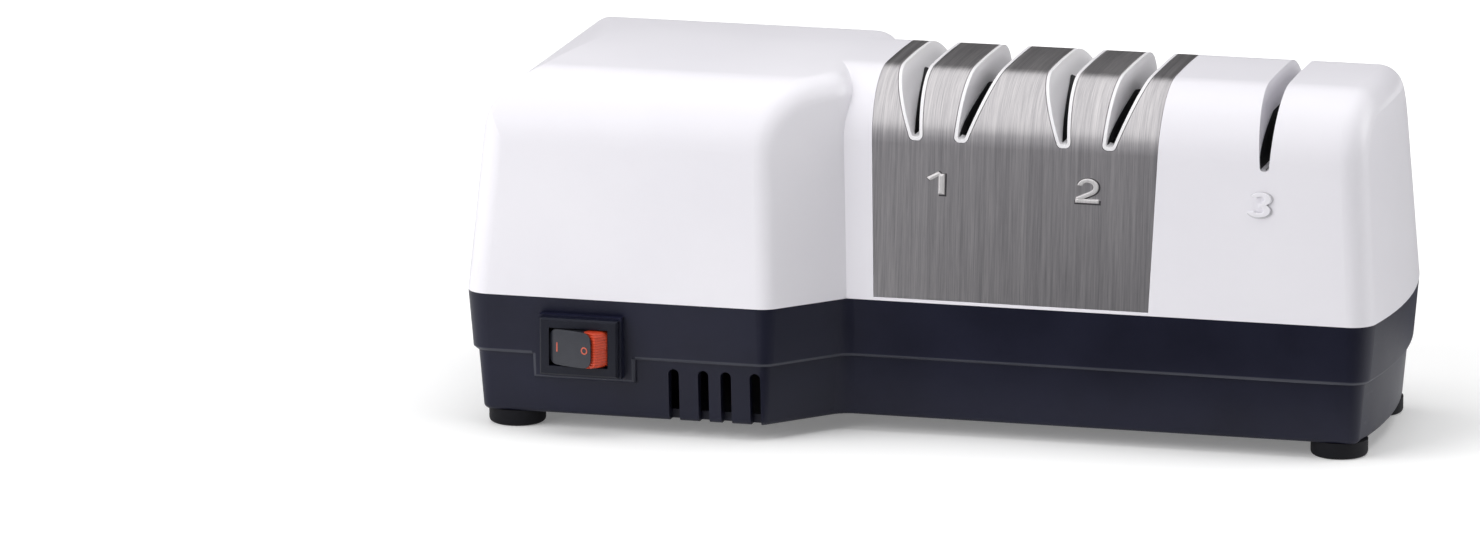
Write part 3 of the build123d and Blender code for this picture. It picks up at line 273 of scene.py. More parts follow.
card_z = 0.0012
grey_card("card_near_right", (-0.045, -0.36, card_z), (0.60, -0.056, card_z), grey=0.0)
grey_card("card_near_left", (-0.80, -0.36, card_z), (-0.045, -0.20, card_z), grey=0.03)
grey_card("card_mid", (-0.80, -0.90, card_z), (0.60, -0.36, card_z), grey=0.12)
grey_card("card_front", (-0.80, -0.90, 0.0), (0.60, -0.90, 0.42), grey=0.36)
grey_card("card_back", (-1.10, 0.70, 0.06), (0.60, 0.70, 0.60), grey=0.03)
grey_card("card_floor_back", (-0.60, 0.10, card_z), (0.60, 0.62, card_z), grey=0.14)


# ---- The camera -----------------------------------------------------------------------------
# It stands nearly three metres off and looks from the front right, a little from above. The
# lens is long, so that the edges of the body stay nearly parallel.
eye_aim = Vector((-0.0609, -0.000614, 0.0383))
eye_azimuth = math.radians(14.6)
eye_height = math.radians(12.9)
eye_distance = 2.755
lens_mm = 240.3
to_eye = Vector((math.sin(eye_azimuth) * math.cos(eye_height),
                 -math.cos(eye_azimuth) * math.cos(eye_height), math.sin(eye_height)))
lens = bpy.data.cameras.new("camera")
lens.lens = lens_mm
lens.sensor_width = 36.0
lens.clip_start = 0.05
lens.clip_end = 60.0
camera = bpy.data.objects.new("camera", lens)
camera.location = eye_aim + to_eye * eye_distance
camera.rotation_euler = (-to_eye).to_track_quat("-Z", "Y").to_euler()
scene.collection.objects.link(camera)
scene.camera = camera


# ---- Base pan -------------------------------------------------------------------------------
# The tray that carries motor and frame, moulded in dark navy ABS with a fine eroded texture,
# and with its upper band, the tab round the switch and the cooling slots. A paler line is painted
# along the lower edge of band and tab: a painted highlight where the edge catches the light.
def dress(finish, *nodes):
    """Gives pieces that keep their built shape their finish."""
    for node in nodes:
        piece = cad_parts[node]
        for one in piece.material_slots:
            one.material = finish.material
        if not piece.material_slots:
            piece.data.materials.append(finish.material)


band_z, tab_z, edge_w = 0.0222, 0.0154, 0.0007
tab_x, tab_half_w, tab_face_y = -0.0928, 0.0146, -0.0485

navy = Finish("base_navy", IOR=1.46, Specular_IOR_Level=0.34)
x, y, z = navy.axes()
erosion = navy.grain(2600.0, 3.0)
cloud = navy.grain(42.0, 3.0)
from_tab = (x - tab_x).size()
on_tab = (y.step(tab_face_y + 0.0005, tab_face_y)
          * from_tab.step(tab_half_w + 0.0002, tab_half_w))
band_edge = (z - band_z).size().step(edge_w, edge_w / 2) * (1 - on_tab)
tab_foot = (z - tab_z).size().step(edge_w, edge_w / 2) * on_tab
tab_side = ((from_tab - tab_half_w + 0.0004).size().step(edge_w, edge_w / 2)
            * on_tab * z.step(band_z, band_z - 0.0003))
# Painted highlight: a paler line along the lower edge of band and tab.
painted_highlight = band_edge.most(tab_foot).most(tab_side * z.step(tab_z - 0.0004, tab_z))
body = navy.mixed(cloud.step(0.3, 0.7), (0.0060, 0.0066, 0.0180), (0.0088, 0.0097, 0.0245))
scuff = navy.grain(160.0, 5.0, 0.62, squeeze=(0.35, 1.0, 2.6)).step(0.60, 0.74)
navy.feed(Base_Color=navy.mixed(painted_highlight * (0.5 + 0.5 * cloud), body, (0.062, 0.065, 0.082)),
          Roughness=0.38 + 0.10 * cloud + 0.06 * erosion - 0.06 * scuff,
          Normal=navy.dents(erosion, 0.00004, 0.6))
dress(navy, "base_pan")


# ---- Feet, gland and motor pads -------------------------------------------------------------
# Soft black rubber, compression moulded: four feet with stems pressed into the floor, a bush in
# the back wall where the mains lead enters, and two pads under the motor.
rubber = Finish("black_rubber", IOR=1.5, Specular_IOR_Level=0.2)
bloom = rubber.grain(500.0, 4.0)
dust = rubber.grain(90.0, 3.0).step(0.5, 0.8)
rubber.wear(0.6 * bloom + 0.4 * dust, (0.004, 0.004, 0.006), (0.012, 0.012, 0.015),
            roughness=0.62 + 0.16 * bloom, dents=(bloom, 0.00005, 0.4))
dress(rubber, "rubber_feet", "cord_gland", "motor_pads")


# ---- Motor stack and rotor core -------------------------------------------------------------
# Thin sheets of dull electrical steel, stacked along the shaft and pressed together. The edges
# of the sheets show as fine lines round the stack, with the blue-brown of the annealing oven.
sheet_t = 0.0005

core = Finish("core_steel", Metallic=1.0)
x, _, _ = core.axes()
edge = ((x / sheet_t).fraction() - 0.5).size().step(0.30, 0.46)
temper = core.grain(70.0, 4.0, 0.6, squeeze=(6.0, 1.0, 1.0))
sheets = core.grain(1900.0, 1.0, squeeze=(1.0, 0.02, 0.02))
core.wear(0.55 * temper + 0.45 * sheets, (0.10, 0.105, 0.125), (0.25, 0.225, 0.20),
          roughness=0.42 + 0.22 * temper, dents=(edge, 0.00008, 0.7))
dress(core, "motor_stack", "rotor_core")


# ---- Shading rings and coil -----------------------------------------------------------------
# Two closed loops of square copper wire round the pole tips, and a coil of enamelled wire that
# is wound in layers along its nylon bobbin.
wire_d = 0.00042

copper = Finish("copper_ring", Metallic=1.0)
tarnish = copper.grain(260.0, 5.0, 0.62)
copper.wear(tarnish.step(0.35, 0.72), (0.72, 0.36, 0.20), (0.36, 0.17, 0.10),
            roughness=0.28 + 0.26 * tarnish, dents=(tarnish, 0.00004, 0.3))
dress(copper, "shading_rings")

enamel = Finish("copper_winding", Metallic=0.75)
_, y, _ = enamel.axes()
wander = enamel.grain(320.0, 2.0, squeeze=(0.4, 1.0, 0.4))
crest = (y + 0.0003 * wander).ripple(wire_d)
batch = enamel.grain(500.0, 2.0, squeeze=(0.15, 3.0, 0.15))
# The colour darkens in the valleys between the turns: painted shade, besides the real bump.
enamel.wear(0.6 * crest + 0.4 * batch, (0.20, 0.06, 0.028), (0.62, 0.25, 0.12),
            roughness=0.24 + 0.10 * batch, dents=(crest, 0.00016, 0.9))
dress(enamel, "coil_winding")

nylon = Finish("bobbin_nylon", IOR=1.53, Subsurface_Weight=0.15, Subsurface_Scale=0.001)
flow = nylon.grain(130.0, 4.0)
nylon.wear(flow.step(0.3, 0.7), (0.66, 0.63, 0.53), (0.76, 0.74, 0.66),
           roughness=0.42 + 0.12 * flow, dents=(flow, 0.00003, 0.3))
dress(nylon, "coil_bobbin")


# ---- Shaft, pins and wheel axle -------------------------------------------------------------
# Bright steel bars, centreless ground, so that very fine rings run round each. Four pins
# through the shaft drive the hubs of the disks, and the short axle holds the ceramic wheels.
ground = Finish("ground_steel", Metallic=1.0)
rings = ground.grain(5200.0, 3.0, 0.6, squeeze=(1.0, 0.03, 0.03))
smear = ground.grain(240.0, 3.0)
ground.wear(0.5 * rings + 0.5 * smear, (0.50, 0.50, 0.51), (0.68, 0.68, 0.69),
            roughness=0.16 + 0.14 * rings + 0.10 * smear, dents=(rings, 0.000015, 0.5))
dress(ground, "shaft", "drive_pins", "wheel_axle")


# ---- Rotor end rings and bearing straps -----------------------------------------------------
# Die-cast aluminium: the two rings that close the rotor's bars, and the straps across the
# stack that hold the bushes. The skin is grey and a little blotchy from the die.
cast = Finish("cast_aluminium", Metallic=1.0)
skin = cast.grain(110.0, 5.0, 0.6)
pits = cast.grain(1500.0, 2.0)
cast.wear(skin.step(0.3, 0.72), (0.40, 0.40, 0.41), (0.60, 0.60, 0.60),
          roughness=0.40 + 0.18 * skin + 0.06 * pits,
          dents=(0.6 * skin + 0.4 * pits, 0.00008, 0.5))
dress(cast, "rotor_end_rings", "bearing_strap_left", "bearing_strap_right")


# ---- Bushes ---------------------------------------------------------------------------------
# Sintered bronze soaked with oil: two in the straps and one in the frame's end wall. Tiny
# dark pores cover the bright metal.
bronze = Finish("sintered_bronze", Metallic=1.0)
pores = bronze.grain(3600.0, 2.0, 0.6).step(0.46, 0.34)
oil = bronze.grain(210.0, 3.0)
bronze.wear(0.75 * pores + 0.2 * oil, (0.58, 0.40, 0.19), (0.16, 0.10, 0.05),
            roughness=0.26 + 0.22 * oil + 0.2 * pores, dents=(pores, -0.00004, 0.7))
dress(bronze, "motor_bushes", "end_bush")


# ---- Bolts, spacers and screws --------------------------------------------------------------
# Zinc-plated steel. The two long bolts clamp stack, spacers and straps. The screws hold frame,
# motor and hood, and their shanks carry a rolled thread, which runs round them in rings.
screw_pitch, bolt_pitch, run_out = 0.0011, 0.0007, 0.0003
screw_head_h, frame_head_h = 0.0056, 0.0023


def plated(name):
    """Zinc with its faint rainbow of yellow and blue; returns it with its fine grain."""
    zinc = Finish(name, Metallic=1.0)
    tint = zinc.grain(150.0, 2.0)
    fine = zinc.grain(2400.0, 3.0)
    shade = zinc.mixed(tint.step(0.38, 0.62), (0.66, 0.65, 0.58), (0.56, 0.60, 0.66))
    zinc.feed(Base_Color=shade, Roughness=0.24 + 0.16 * fine)
    return zinc, fine


zinc_plain, fine = plated("zinc_plain")
zinc_plain.feed(Normal=zinc_plain.dents(fine, 0.00002, 0.4))
dress(zinc_plain, "motor_spacers")

zinc_bolt, _ = plated("zinc_bolts")
x, _, _ = zinc_bolt.axes()
nut_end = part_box("bearing_strap_right")[1].x
threaded = x.step(nut_end, nut_end + 0.001)
zinc_bolt.feed(Normal=zinc_bolt.dents(x.ripple(bolt_pitch) * threaded, 0.00018, 0.9))
dress(zinc_bolt, "motor_bolts")

for group, shank_z, points in (
        ("hood_screws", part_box("base_pan")[0].z + screw_head_h, 1),
        ("motor_mount_screws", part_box("base_pan")[0].z + screw_head_h, 1),
        ("frame_screws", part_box("frame_screws")[1].z - frame_head_h, -1)):
    zinc_screw, fine = plated("zinc_" + group)
    _, _, z = zinc_screw.axes()
    ridge = z.ripple(screw_pitch) * z.step(shank_z, shank_z + points * run_out)
    zinc_screw.feed(Normal=zinc_screw.dents(ridge + 0.05 * fine, 0.00030, 0.9))
    dress(zinc_screw, group)


# ---- Cooling fan ----------------------------------------------------------------------------
# Black nylon, moulded in one piece with nine straight blades on a disc, and pressed on the
# left end of the shaft.
fan_nylon = Finish("fan_plastic", IOR=1.53, Specular_IOR_Level=0.45)
weld = fan_nylon.grain(160.0, 4.0)
fine = fan_nylon.grain(2200.0, 2.0)
fan_nylon.wear(weld, (0.020, 0.020, 0.022), (0.045, 0.045, 0.048),
               roughness=0.38 + 0.18 * weld, dents=(0.5 * weld + 0.5 * fine, 0.00003, 0.4))
dress(fan_nylon, "cooling_fan")


# ---- Mechanism frame ------------------------------------------------------------------------
# One dark grey moulding of glass-filled nylon, screwed to four posts of the base. It carries
# the end bush on its wall and the manual stage on its tower. Short glass fibres mark its skin.
glass_filled = Finish("frame_plastic", IOR=1.53, Specular_IOR_Level=0.4)
fibres = glass_filled.grain(1700.0, 4.0, 0.65, squeeze=(0.25, 1.0, 1.0)).step(0.5, 0.72)
swirl = glass_filled.grain(75.0, 4.0)
glass_filled.wear(0.5 * fibres + 0.4 * swirl, (0.055, 0.060, 0.064), (0.15, 0.155, 0.16),
                  roughness=0.46 + 0.16 * fibres, dents=(fibres, 0.00003, 0.5))
dress(glass_filled, "mechanism_frame")


# ---- Disks ----------------------------------------------------------------------------------
# Two pairs of pressed steel cones on turned hubs. Fine diamond grit is held in nickel on the
# face that meets the blade, and the knives wear a brighter ring into it.
shaft_y = sum(corner.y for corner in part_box("shaft")) / 2
shaft_z = sum(corner.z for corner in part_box("shaft")) / 2
hub_r, grit_from_r, worn_r = 0.0068, 0.0074, 0.0205

grit = Finish("disk_steel", Metallic=1.0)
_, y, z = grit.axes()
off_axis = ((y - shaft_y) ** 2 + (z - shaft_z) ** 2) ** 0.5
coated = off_axis.step(hub_r, grit_from_r)
worn = (off_axis - worn_r).size().step(0.0028, 0.0008)
grains = grit.grain(5200.0, 1.0, 0.8)
patches = grit.grain(160.0, 3.0)
turned = grit.grain(3000.0, 2.0, squeeze=(1.0, 0.02, 0.02))
steel_tone = grit.mixed(turned, (0.44, 0.44, 0.45), (0.62, 0.62, 0.63))
grit_share = 0.6 * grains + 0.3 * patches + 0.25 * worn
grit_tone = grit.mixed(grit_share, (0.16, 0.16, 0.17), (0.58, 0.58, 0.60))
grit.feed(Base_Color=grit.mixed(coated, steel_tone, grit_tone),
          Roughness=0.26 + coated * (0.24 + 0.12 * grains - 0.10 * worn),
          Normal=grit.dents(coated * grains + (1 - coated) * 0.2 * turned, 0.00007, 0.8))
dress(grit, "disk_1_left", "disk_1_right", "disk_2_left", "disk_2_right")


# ---- Disk springs ---------------------------------------------------------------------------
# Open springs of hard-drawn wire between the disks of each pair, dull grey from the drawing
# soap, with fine lines along the wire. Each half gives way to the disk on its own side.
stage_middles = {1: 0.0021, 2: 0.0436}
sides = {"left": -1, "right": 1}
wire_r, coil_r, coil_half = 0.00055, 0.00495, 0.0043
half_turns, half_steps = 2, 48

drawn = Finish("spring_steel", Metallic=1.0)
soap = drawn.grain(420.0, 4.0)
lines = drawn.grain(1600.0, 2.0, squeeze=(4.0, 0.6, 0.6))
drawn.wear(0.6 * soap + 0.4 * lines, (0.30, 0.30, 0.31), (0.55, 0.55, 0.57),
           roughness=0.26 + 0.18 * soap, dents=(lines, 0.00002, 0.4))


def only(kind, geom):
    """The vertices, edges or faces out of what a bmesh operator hands back."""
    return [part for part in geom if isinstance(part, kind)]


for stage, middle in stage_middles.items():
    for word, side in sides.items():
        bm = bmesh.new()
        bmesh.ops.create_circle(bm, cap_ends=True, segments=10, radius=wire_r)
        bmesh.ops.translate(bm, vec=(0, coil_r, 0), verts=bm.verts)
        rise = side * (coil_half - wire_r) / half_steps
        swept = bmesh.ops.spin(bm, geom=bm.edges[:], axis=(1, 0, 0), cent=(0, 0, 0),
                               dvec=(rise, 0, 0), angle=side * half_turns * 2 * math.pi,
                               steps=half_steps, use_merge=False)["geom_last"]
        bmesh.ops.contextual_create(bm, geom=only(bmesh.types.BMEdge, swept))
        bmesh.ops.translate(bm, vec=(middle, shaft_y, shaft_z), verts=bm.verts)
        bmesh.ops.recalc_face_normals(bm, faces=bm.faces)
        for face in bm.faces:
            face.smooth = len(face.verts) == 4
        coil = piece_from(bm, f"disk_spring_{stage}_{word}")
        coil.data.materials.append(drawn.material)
        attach(coil, "rotor")
        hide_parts(f"disk_spring_{stage}")
        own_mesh(coil)


# ---- Manual stage ---------------------------------------------------------------------------
# Two bevelled wheels of fired ceramic run free on their axle in a carrier of grey acetal,
# which is fixed on the frame's tower. Steel from the blades leaves grey rings on the bevels.
wheel_y = sum(corner.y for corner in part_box("wheel_axle")) / 2
wheel_z = sum(corner.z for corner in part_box("wheel_axle")) / 2
used_r = 0.0098

fired = Finish("ceramic", IOR=1.6, Specular_IOR_Level=0.35)
_, y, z = fired.axes()
off_axle = ((y - wheel_y) ** 2 + (z - wheel_z) ** 2) ** 0.5
used = (off_axle - used_r).size().step(0.0016, 0.0003)
speck = fired.grain(3800.0, 1.0, 0.8)
smoke = fired.grain(400.0, 3.0, squeeze=(1.0, 0.3, 0.3))
fired.wear((used * (0.35 + 0.5 * smoke)).most(0.35 * speck),
           (0.80, 0.77, 0.70), (0.36, 0.36, 0.36),
           roughness=0.66 + 0.14 * speck, dents=(speck, 0.00005, 0.7))
dress(fired, "wheel_left", "wheel_right")

acetal = Finish("guide_grey", IOR=1.48)
flow = acetal.grain(110.0, 4.0)
rub = acetal.grain(900.0, 3.0, squeeze=(1.0, 0.1, 1.0))
acetal.wear(0.6 * flow + 0.3 * rub, (0.145, 0.145, 0.155), (0.225, 0.225, 0.24),
            roughness=0.34 + 0.16 * rub, dents=(rub, 0.00002, 0.4))
dress(acetal, "wheel_cartridge")


# ---- Clean-out door and magnet --------------------------------------------------------------
# A flat navy door that slides along rails under the floor, with ribs for the finger. A bar of
# black ferrite on it gathers the filings, which stand on it as a fine dark fur.
dress(navy, "clean_out_door")

ferrite = Finish("magnet_dark", Metallic=0.3)
fur = ferrite.grain(2600.0, 3.0, 0.75, squeeze=(1.0, 1.0, 0.35))
heap = ferrite.grain(130.0, 3.0)
filed = (heap + 0.3 * fur).step(0.55, 0.75)
ferrite.wear(filed * fur, (0.035, 0.035, 0.037), (0.24, 0.23, 0.22),
             roughness=0.55 + 0.25 * fur, dents=(filed * fur, 0.0003, 0.8))
dress(ferrite, "filings_magnet")


# ---- Switch body, terminals and leads -------------------------------------------------------
# A snap-in rocker switch: a smooth black nylon body with three stamped brass blades, and two
# insulated leads from the blades to the coil.
switch_nylon = Finish("switch_black", IOR=1.53, Specular_IOR_Level=0.24)
flow = switch_nylon.grain(300.0, 4.0)
fine = switch_nylon.grain(3000.0, 2.0)
switch_nylon.wear(flow, (0.0045, 0.0053, 0.0110), (0.0080, 0.0092, 0.0175),
                  roughness=0.36 + 0.10 * flow, dents=(fine, 0.00002, 0.4))
dress(switch_nylon, "switch_body")

stamped = Finish("brass", Metallic=1.0)
roll = stamped.grain(2400.0, 3.0, squeeze=(1.0, 0.05, 1.0))
stain = stamped.grain(330.0, 4.0)
stamped.wear(0.3 * roll + 0.6 * stain, (0.76, 0.60, 0.28), (0.48, 0.34, 0.13),
             roughness=0.22 + 0.22 * stain, dents=(roll, 0.00002, 0.4))
dress(stamped, "switch_terminals")

sleeve = Finish("lead_pvc", IOR=1.53)
matt = sleeve.grain(700.0, 3.0)
sleeve.wear(matt, (0.030, 0.031, 0.036), (0.055, 0.056, 0.062),
            roughness=0.34 + 0.14 * matt, dents=(matt, 0.00003, 0.3))
dress(sleeve, "lead_wires")


# ---- Rocker ---------------------------------------------------------------------------------
# The moving part of the switch is black, with one ribbed flank moulded in signal orange that
# shows while it is on. A smooth black pillow with a printed I and O caps it.
tilt = math.radians(18.3)
pivot = Vector((tab_x, -0.049494, 0.0255))
flank_from, rib_pitch = 0.0040, 0.00075

orange = Finish("rocker_orange", IOR=1.5)
x, y, z = orange.axes()
along_face = (x - pivot.x) * math.cos(tilt) - (y - pivot.y) * math.sin(tilt)
flag = along_face.step(flank_from, flank_from + 0.0002)
ribs = z.ripple(rib_pitch)
flow = orange.grain(500.0, 3.0)
# The orange darkens in the valleys between the ribs: painted shade, besides the real bump.
flag_tone = orange.mixed(0.55 * ribs + 0.4 * flow, (0.44, 0.036, 0.012), (0.68, 0.074, 0.026))
black_tone = orange.mixed(flow, (0.005, 0.005, 0.007), (0.012, 0.012, 0.015))
orange.feed(Base_Color=orange.mixed(flag, black_tone, flag_tone), Roughness=0.34 + 0.10 * flow,
            Normal=orange.dents(ribs * flag, 0.00014, 0.8))
dress(orange, "rocker")

cap_l, cap_h, cap_t = 0.01366, 0.0102, 0.0009
cap_face, cap_corner, cap_edge = 0.0066, 0.0026, 0.00010
swell = ((0.00012, 0.0), (0.00030, 0.0), (0.0012, 0.00006), (0.0012, 0.00004))

bm = bmesh.new()
bmesh.ops.create_cube(bm, size=1.0)
bmesh.ops.scale(bm, vec=(cap_l, cap_t, cap_h), verts=bm.verts)
corners = [e for e in bm.edges if abs(e.verts[0].co.y - e.verts[1].co.y) > cap_t / 2]
bmesh.ops.bevel(bm, geom=corners, offset=cap_corner, segments=4, profile=0.5, affect="EDGES",
                material=-1)
front = min(bm.faces, key=lambda face: face.calc_center_median().y)
for inwards, rise in swell:
    bmesh.ops.inset_region(bm, faces=[front], thickness=inwards, depth=rise)
rim = []
for edge in bm.edges:
    facing = sorted(-face.normal.y for face in edge.link_faces)
    in_front = all(v.co.y < -cap_t * 0.49 for v in edge.verts)
    if in_front and facing[0] < 0.1 and facing[-1] > 0.9:
        rim.append(edge)
bmesh.ops.bevel(bm, geom=rim, offset=cap_edge, segments=2, profile=0.5, affect="EDGES",
                material=-1)
bmesh.ops.translate(bm, vec=(0, -cap_face + cap_t / 2, 0), verts=bm.verts)
bmesh.ops.rotate(bm, verts=bm.verts, matrix=Matrix.Rotation(-tilt, 3, "Z"))
bmesh.ops.translate(bm, vec=pivot, verts=bm.verts)
bmesh.ops.recalc_face_normals(bm, faces=bm.faces)
for face in bm.faces:
    face.smooth = True
cap = piece_from(bm, "rocker_pillow")
soft = cap.modifiers.new("soft", "SUBSURF")
soft.levels = 2
soft.render_levels = 2
pillow = Finish("rocker_black", IOR=1.5)
touch = pillow.grain(380.0, 4.0)
pillow.wear(touch, (0.014, 0.0155, 0.0225), (0.025, 0.027, 0.037),
            roughness=0.26 + 0.12 * touch, dents=(touch, 0.00002, 0.3))
cap.data.materials.append(pillow.material)
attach(cap, "switch_rocker")
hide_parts("rocker_cap")

mark_ink = Finish("mark_red", IOR=1.5)
ink = mark_ink.grain(1600.0, 3.0)
mark_ink.feed(Base_Color=mark_ink.mixed(ink, (0.42, 0.075, 0.045), (0.60, 0.13, 0.08)),
              Roughness=0.42 + 0.12 * ink)

bar_w, bar_h, bar_x = 0.00042, 0.0026, -0.0042
ring_r, ring_hole, ring_x = 0.00105, 0.66, 0.0048
ink_t, ink_rise = 0.00008, 0.00006


def put_mark(bm, name, along):
    """Lays a flat mark, made round the origin in XZ, on the face of the pillow."""
    bmesh.ops.translate(bm, vec=(along, -cap_face - ink_rise, 0), verts=bm.verts)
    bmesh.ops.rotate(bm, verts=bm.verts, matrix=Matrix.Rotation(-tilt, 3, "Z"))
    bmesh.ops.translate(bm, vec=pivot, verts=bm.verts)
    bmesh.ops.recalc_face_normals(bm, faces=bm.faces)
    mark = piece_from(bm, name)
    mark.data.materials.append(mark_ink.material)
    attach(mark, "switch_rocker")


bm = bmesh.new()
bmesh.ops.create_cube(bm, size=1.0)
bmesh.ops.scale(bm, vec=(bar_w, ink_t, bar_h), verts=bm.verts)
put_mark(bm, "mark_on", bar_x)

bm = bmesh.new()
bmesh.ops.create_circle(bm, cap_ends=False, segments=40, radius=ring_r)
inner = bmesh.ops.extrude_edge_only(bm, edges=bm.edges[:])["geom"]
bmesh.ops.scale(bm, vec=(ring_hole, ring_hole, 1), verts=only(bmesh.types.BMVert, inner))
lid = bmesh.ops.extrude_face_region(bm, geom=bm.faces[:])["geom"]
bmesh.ops.translate(bm, vec=(0, 0, ink_t), verts=only(bmesh.types.BMVert, lid))
bmesh.ops.rotate(bm, verts=bm.verts, matrix=Matrix.Rotation(math.pi / 2, 3, "X"))
put_mark(bm, "mark_off", ring_x)


# ---- Hood and slot liners -------------------------------------------------------------------
# The white cover over motor and stages is one moulding of glossy ABS, held to the base by six
# screws from below. Two liners of the same white hang in the powered slots and guide the
# blade, and their walls carry faint grey streaks that grow deeper in the slot.
white = Finish("hood_white", IOR=1.5)
flow = white.grain(18.0, 3.0)
orange_peel = white.grain(900.0, 2.0)
white.wear(flow.step(0.25, 0.75), (0.80, 0.785, 0.835), (0.83, 0.815, 0.86),
           roughness=0.30 + 0.08 * flow + 0.03 * orange_peel, dents=(orange_peel, 0.00002, 0.25))
dress(white, "hood")

slot_mouth_z, slot_deep_z = 0.099, 0.088

lining = Finish("liner_white", IOR=1.5)
_, _, z = lining.axes()
flow = lining.grain(60.0, 3.0)
wall_streaks = lining.grain(1300.0, 3.0, 0.6, squeeze=(1.0, 0.04, 1.0)).step(0.60, 0.78)
# Grey streaks that grow from the mouth of the slot towards its foot.
deep = z.step(slot_mouth_z, slot_deep_z)
grey_share = (0.35 * wall_streaks * deep).most(0.06 * flow)
lining.wear(grey_share, (0.84, 0.83, 0.85), (0.46, 0.46, 0.47),
            roughness=0.30 + 0.10 * flow + 0.15 * wall_streaks, dents=(wall_streaks, 0.00002, 0.3))
dress(lining, "slot_liner_1", "slot_liner_2")
dress(acetal, "guide_spring_1", "guide_spring_2")


# ---- Painted shade strips -------------------------------------------------------------------
# Thin near-black sheets lie on the walls of the slots, nearly flush: painted shade for the dark
# view into the slots. They are wide at the foot and curl back towards the crown.
strip_t, tip_half = 0.0004, 0.0008
slot_3_x = 0.0932

# Near-black finish of the painted shade strips.
shade_strip_finish = Finish("painted_shade_black", IOR=1.5, Specular_IOR_Level=0.25)
strip_grain = shade_strip_finish.grain(800.0, 3.0)
strip_streaks = shade_strip_finish.grain(1500.0, 3.0, squeeze=(1.0, 0.03, 1.0)).step(0.55, 0.8)
shade_strip_finish.wear(0.5 * strip_grain + 0.5 * strip_streaks, (0.006, 0.006, 0.007), (0.022, 0.022, 0.024),
                roughness=0.48 + 0.2 * strip_grain, dents=(strip_streaks, 0.00002, 0.4))


def painted_shade_strip(name, foot, top, front_y, leans, curls):
    """A strip on a wall that leans from foot to top, each given as x and z.

    Going up, its front and back edges lean and curl inwards.
    """
    foot, top = Vector(foot), Vector(top)
    bm = bmesh.new()
    bmesh.ops.create_grid(bm, x_segments=8, y_segments=8, size=0.5)
    for v in bm.verts:
        up = v.co.x + 0.5
        half = max(tip_half, shaft_y - front_y - leans * up - curls * up ** 2)
        wall = foot.lerp(top, up)
        v.co = (wall.x, shaft_y + 2 * v.co.y * half, wall.y)
    bmesh.ops.solidify(bm, geom=bm.faces[:], thickness=strip_t)
    bmesh.ops.recalc_face_normals(bm, faces=bm.faces)
    strip = piece_from(bm, name)
    strip.data.materials.append(shade_strip_finish.material)
    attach(strip, "housing")


for stage, middle in stage_middles.items():
    for word, side in sides.items():
        painted_shade_strip(f"guide_strip_{stage}_{word}_inner",
                    foot=(middle + side * 0.00553, 0.0842), top=(middle + side * 0.00616, 0.0931),
                    front_y=-0.0255, leans=0.0031, curls=0.0291)
        painted_shade_strip(f"guide_strip_{stage}_{word}_outer",
                    foot=(middle + side * 0.00721, 0.0842), top=(middle + side * 0.01191, 0.0964),
                    front_y=-0.0246, leans=0.0213, curls=0.0100)
for word, side in sides.items():
    painted_shade_strip("guide_strip_3_" + word,
                foot=(slot_3_x + side * 0.00111, 0.0803), top=(slot_3_x + side * 0.00201, 0.0922),
                front_y=-0.0266, leans=-0.0066, curls=0.0271)


# ---- Cover plate ----------------------------------------------------------------------------
# Thin stainless sheet wrapped over front, top and back of the two powered stages. It is
# brushed along the wrap before it is bent, and pressed into a recess of the hood.
hair_squeeze = 0.013

steel_sheet = Finish("plate_steel", Metallic=1.0)
x, y, z = steel_sheet.axes()
along = steel_sheet.add("ShaderNodeCombineXYZ", {}, {0: x, 1: (z - y.size()) * hair_squeeze})
hairs = steel_sheet.grain(3600.0, 4.0, 0.75, at=along)
bands = steel_sheet.grain(700.0, 4.0, 0.6, at=along)
brush = 0.6 * hairs + 0.4 * bands
handling = steel_sheet.grain(26.0, 3.0)
steel_sheet.wear(brush.step(0.30, 0.70), (0.47, 0.455, 0.475), (0.84, 0.81, 0.82),
                 roughness=0.22 + 0.10 * bands + 0.06 * hairs + 0.05 * handling,
                 dents=(hairs, 0.00002, 0.5))
dress(steel_sheet, "stage_plate")


# ---- Stage numbers --------------------------------------------------------------------------
# Plain figures in front of the stages. 1 and 2 are embossed in the cover plate, and 3 is moulded
# with the hood. 1 and 2 get a lighter, less metallic copy of the plate steel: a painted
# highlight.
# A thin darker copy of each figure lies under and round it: a painted shade line.
front_lean = math.radians(4.9)
wall_y, wall_foot_z = -0.031094, 0.0384


def ribbon(bm, start, heading, width, moves):
    """A flat band in XY; moves are ("ahead", length) or ("turn", radius, degrees)."""
    ahead = Vector((math.cos(math.radians(heading)), math.sin(math.radians(heading)), 0))
    aside = Vector((-ahead.y, ahead.x, 0))
    middle = Vector((*start, 0))
    ends = [bm.verts.new(middle + aside * width / 2 * side) for side in (-1, 1)]
    edges = [bm.edges.new(ends)]
    for kind, amount, *angle in moves:
        if kind == "ahead":
            moved = bmesh.ops.extrude_edge_only(bm, edges=edges)["geom"]
            bmesh.ops.translate(bm, vec=ahead * amount, verts=only(bmesh.types.BMVert, moved))
            middle = middle + ahead * amount
        else:
            sweep = math.radians(angle[0])
            centre = middle + aside * math.copysign(amount, sweep)
            moved = bmesh.ops.spin(bm, geom=edges, cent=centre, axis=(0, 0, 1), angle=sweep,
                                   steps=18, use_merge=False)["geom_last"]
            turn = Matrix.Rotation(sweep, 3, "Z")
            middle = centre + turn @ (middle - centre)
            ahead, aside = turn @ ahead, turn @ aside
        edges = only(bmesh.types.BMEdge, moved)


figure_strokes = {
    "1": [((1.1, 3.2), -90, 1.35, [("ahead", 6.4)]),
          ((-1.7, 1.4), 38, 1.25, [("ahead", 3.2)])],
    "2": [((-1.92, 1.7), 80, 1.2, [("turn", 1.95, -230), ("ahead", 4.0)]),
          ((-2.9, -2.75), 0, 1.2, [("ahead", 5.6)])],
    "3": [((-1.15, 2.0), 70, 1.1, [("turn", 1.2, -240)]),
          ((-0.3, 0.0), 0, 1.1, [("turn", 1.35, -250)])],
}
stroke_offset = 0.02


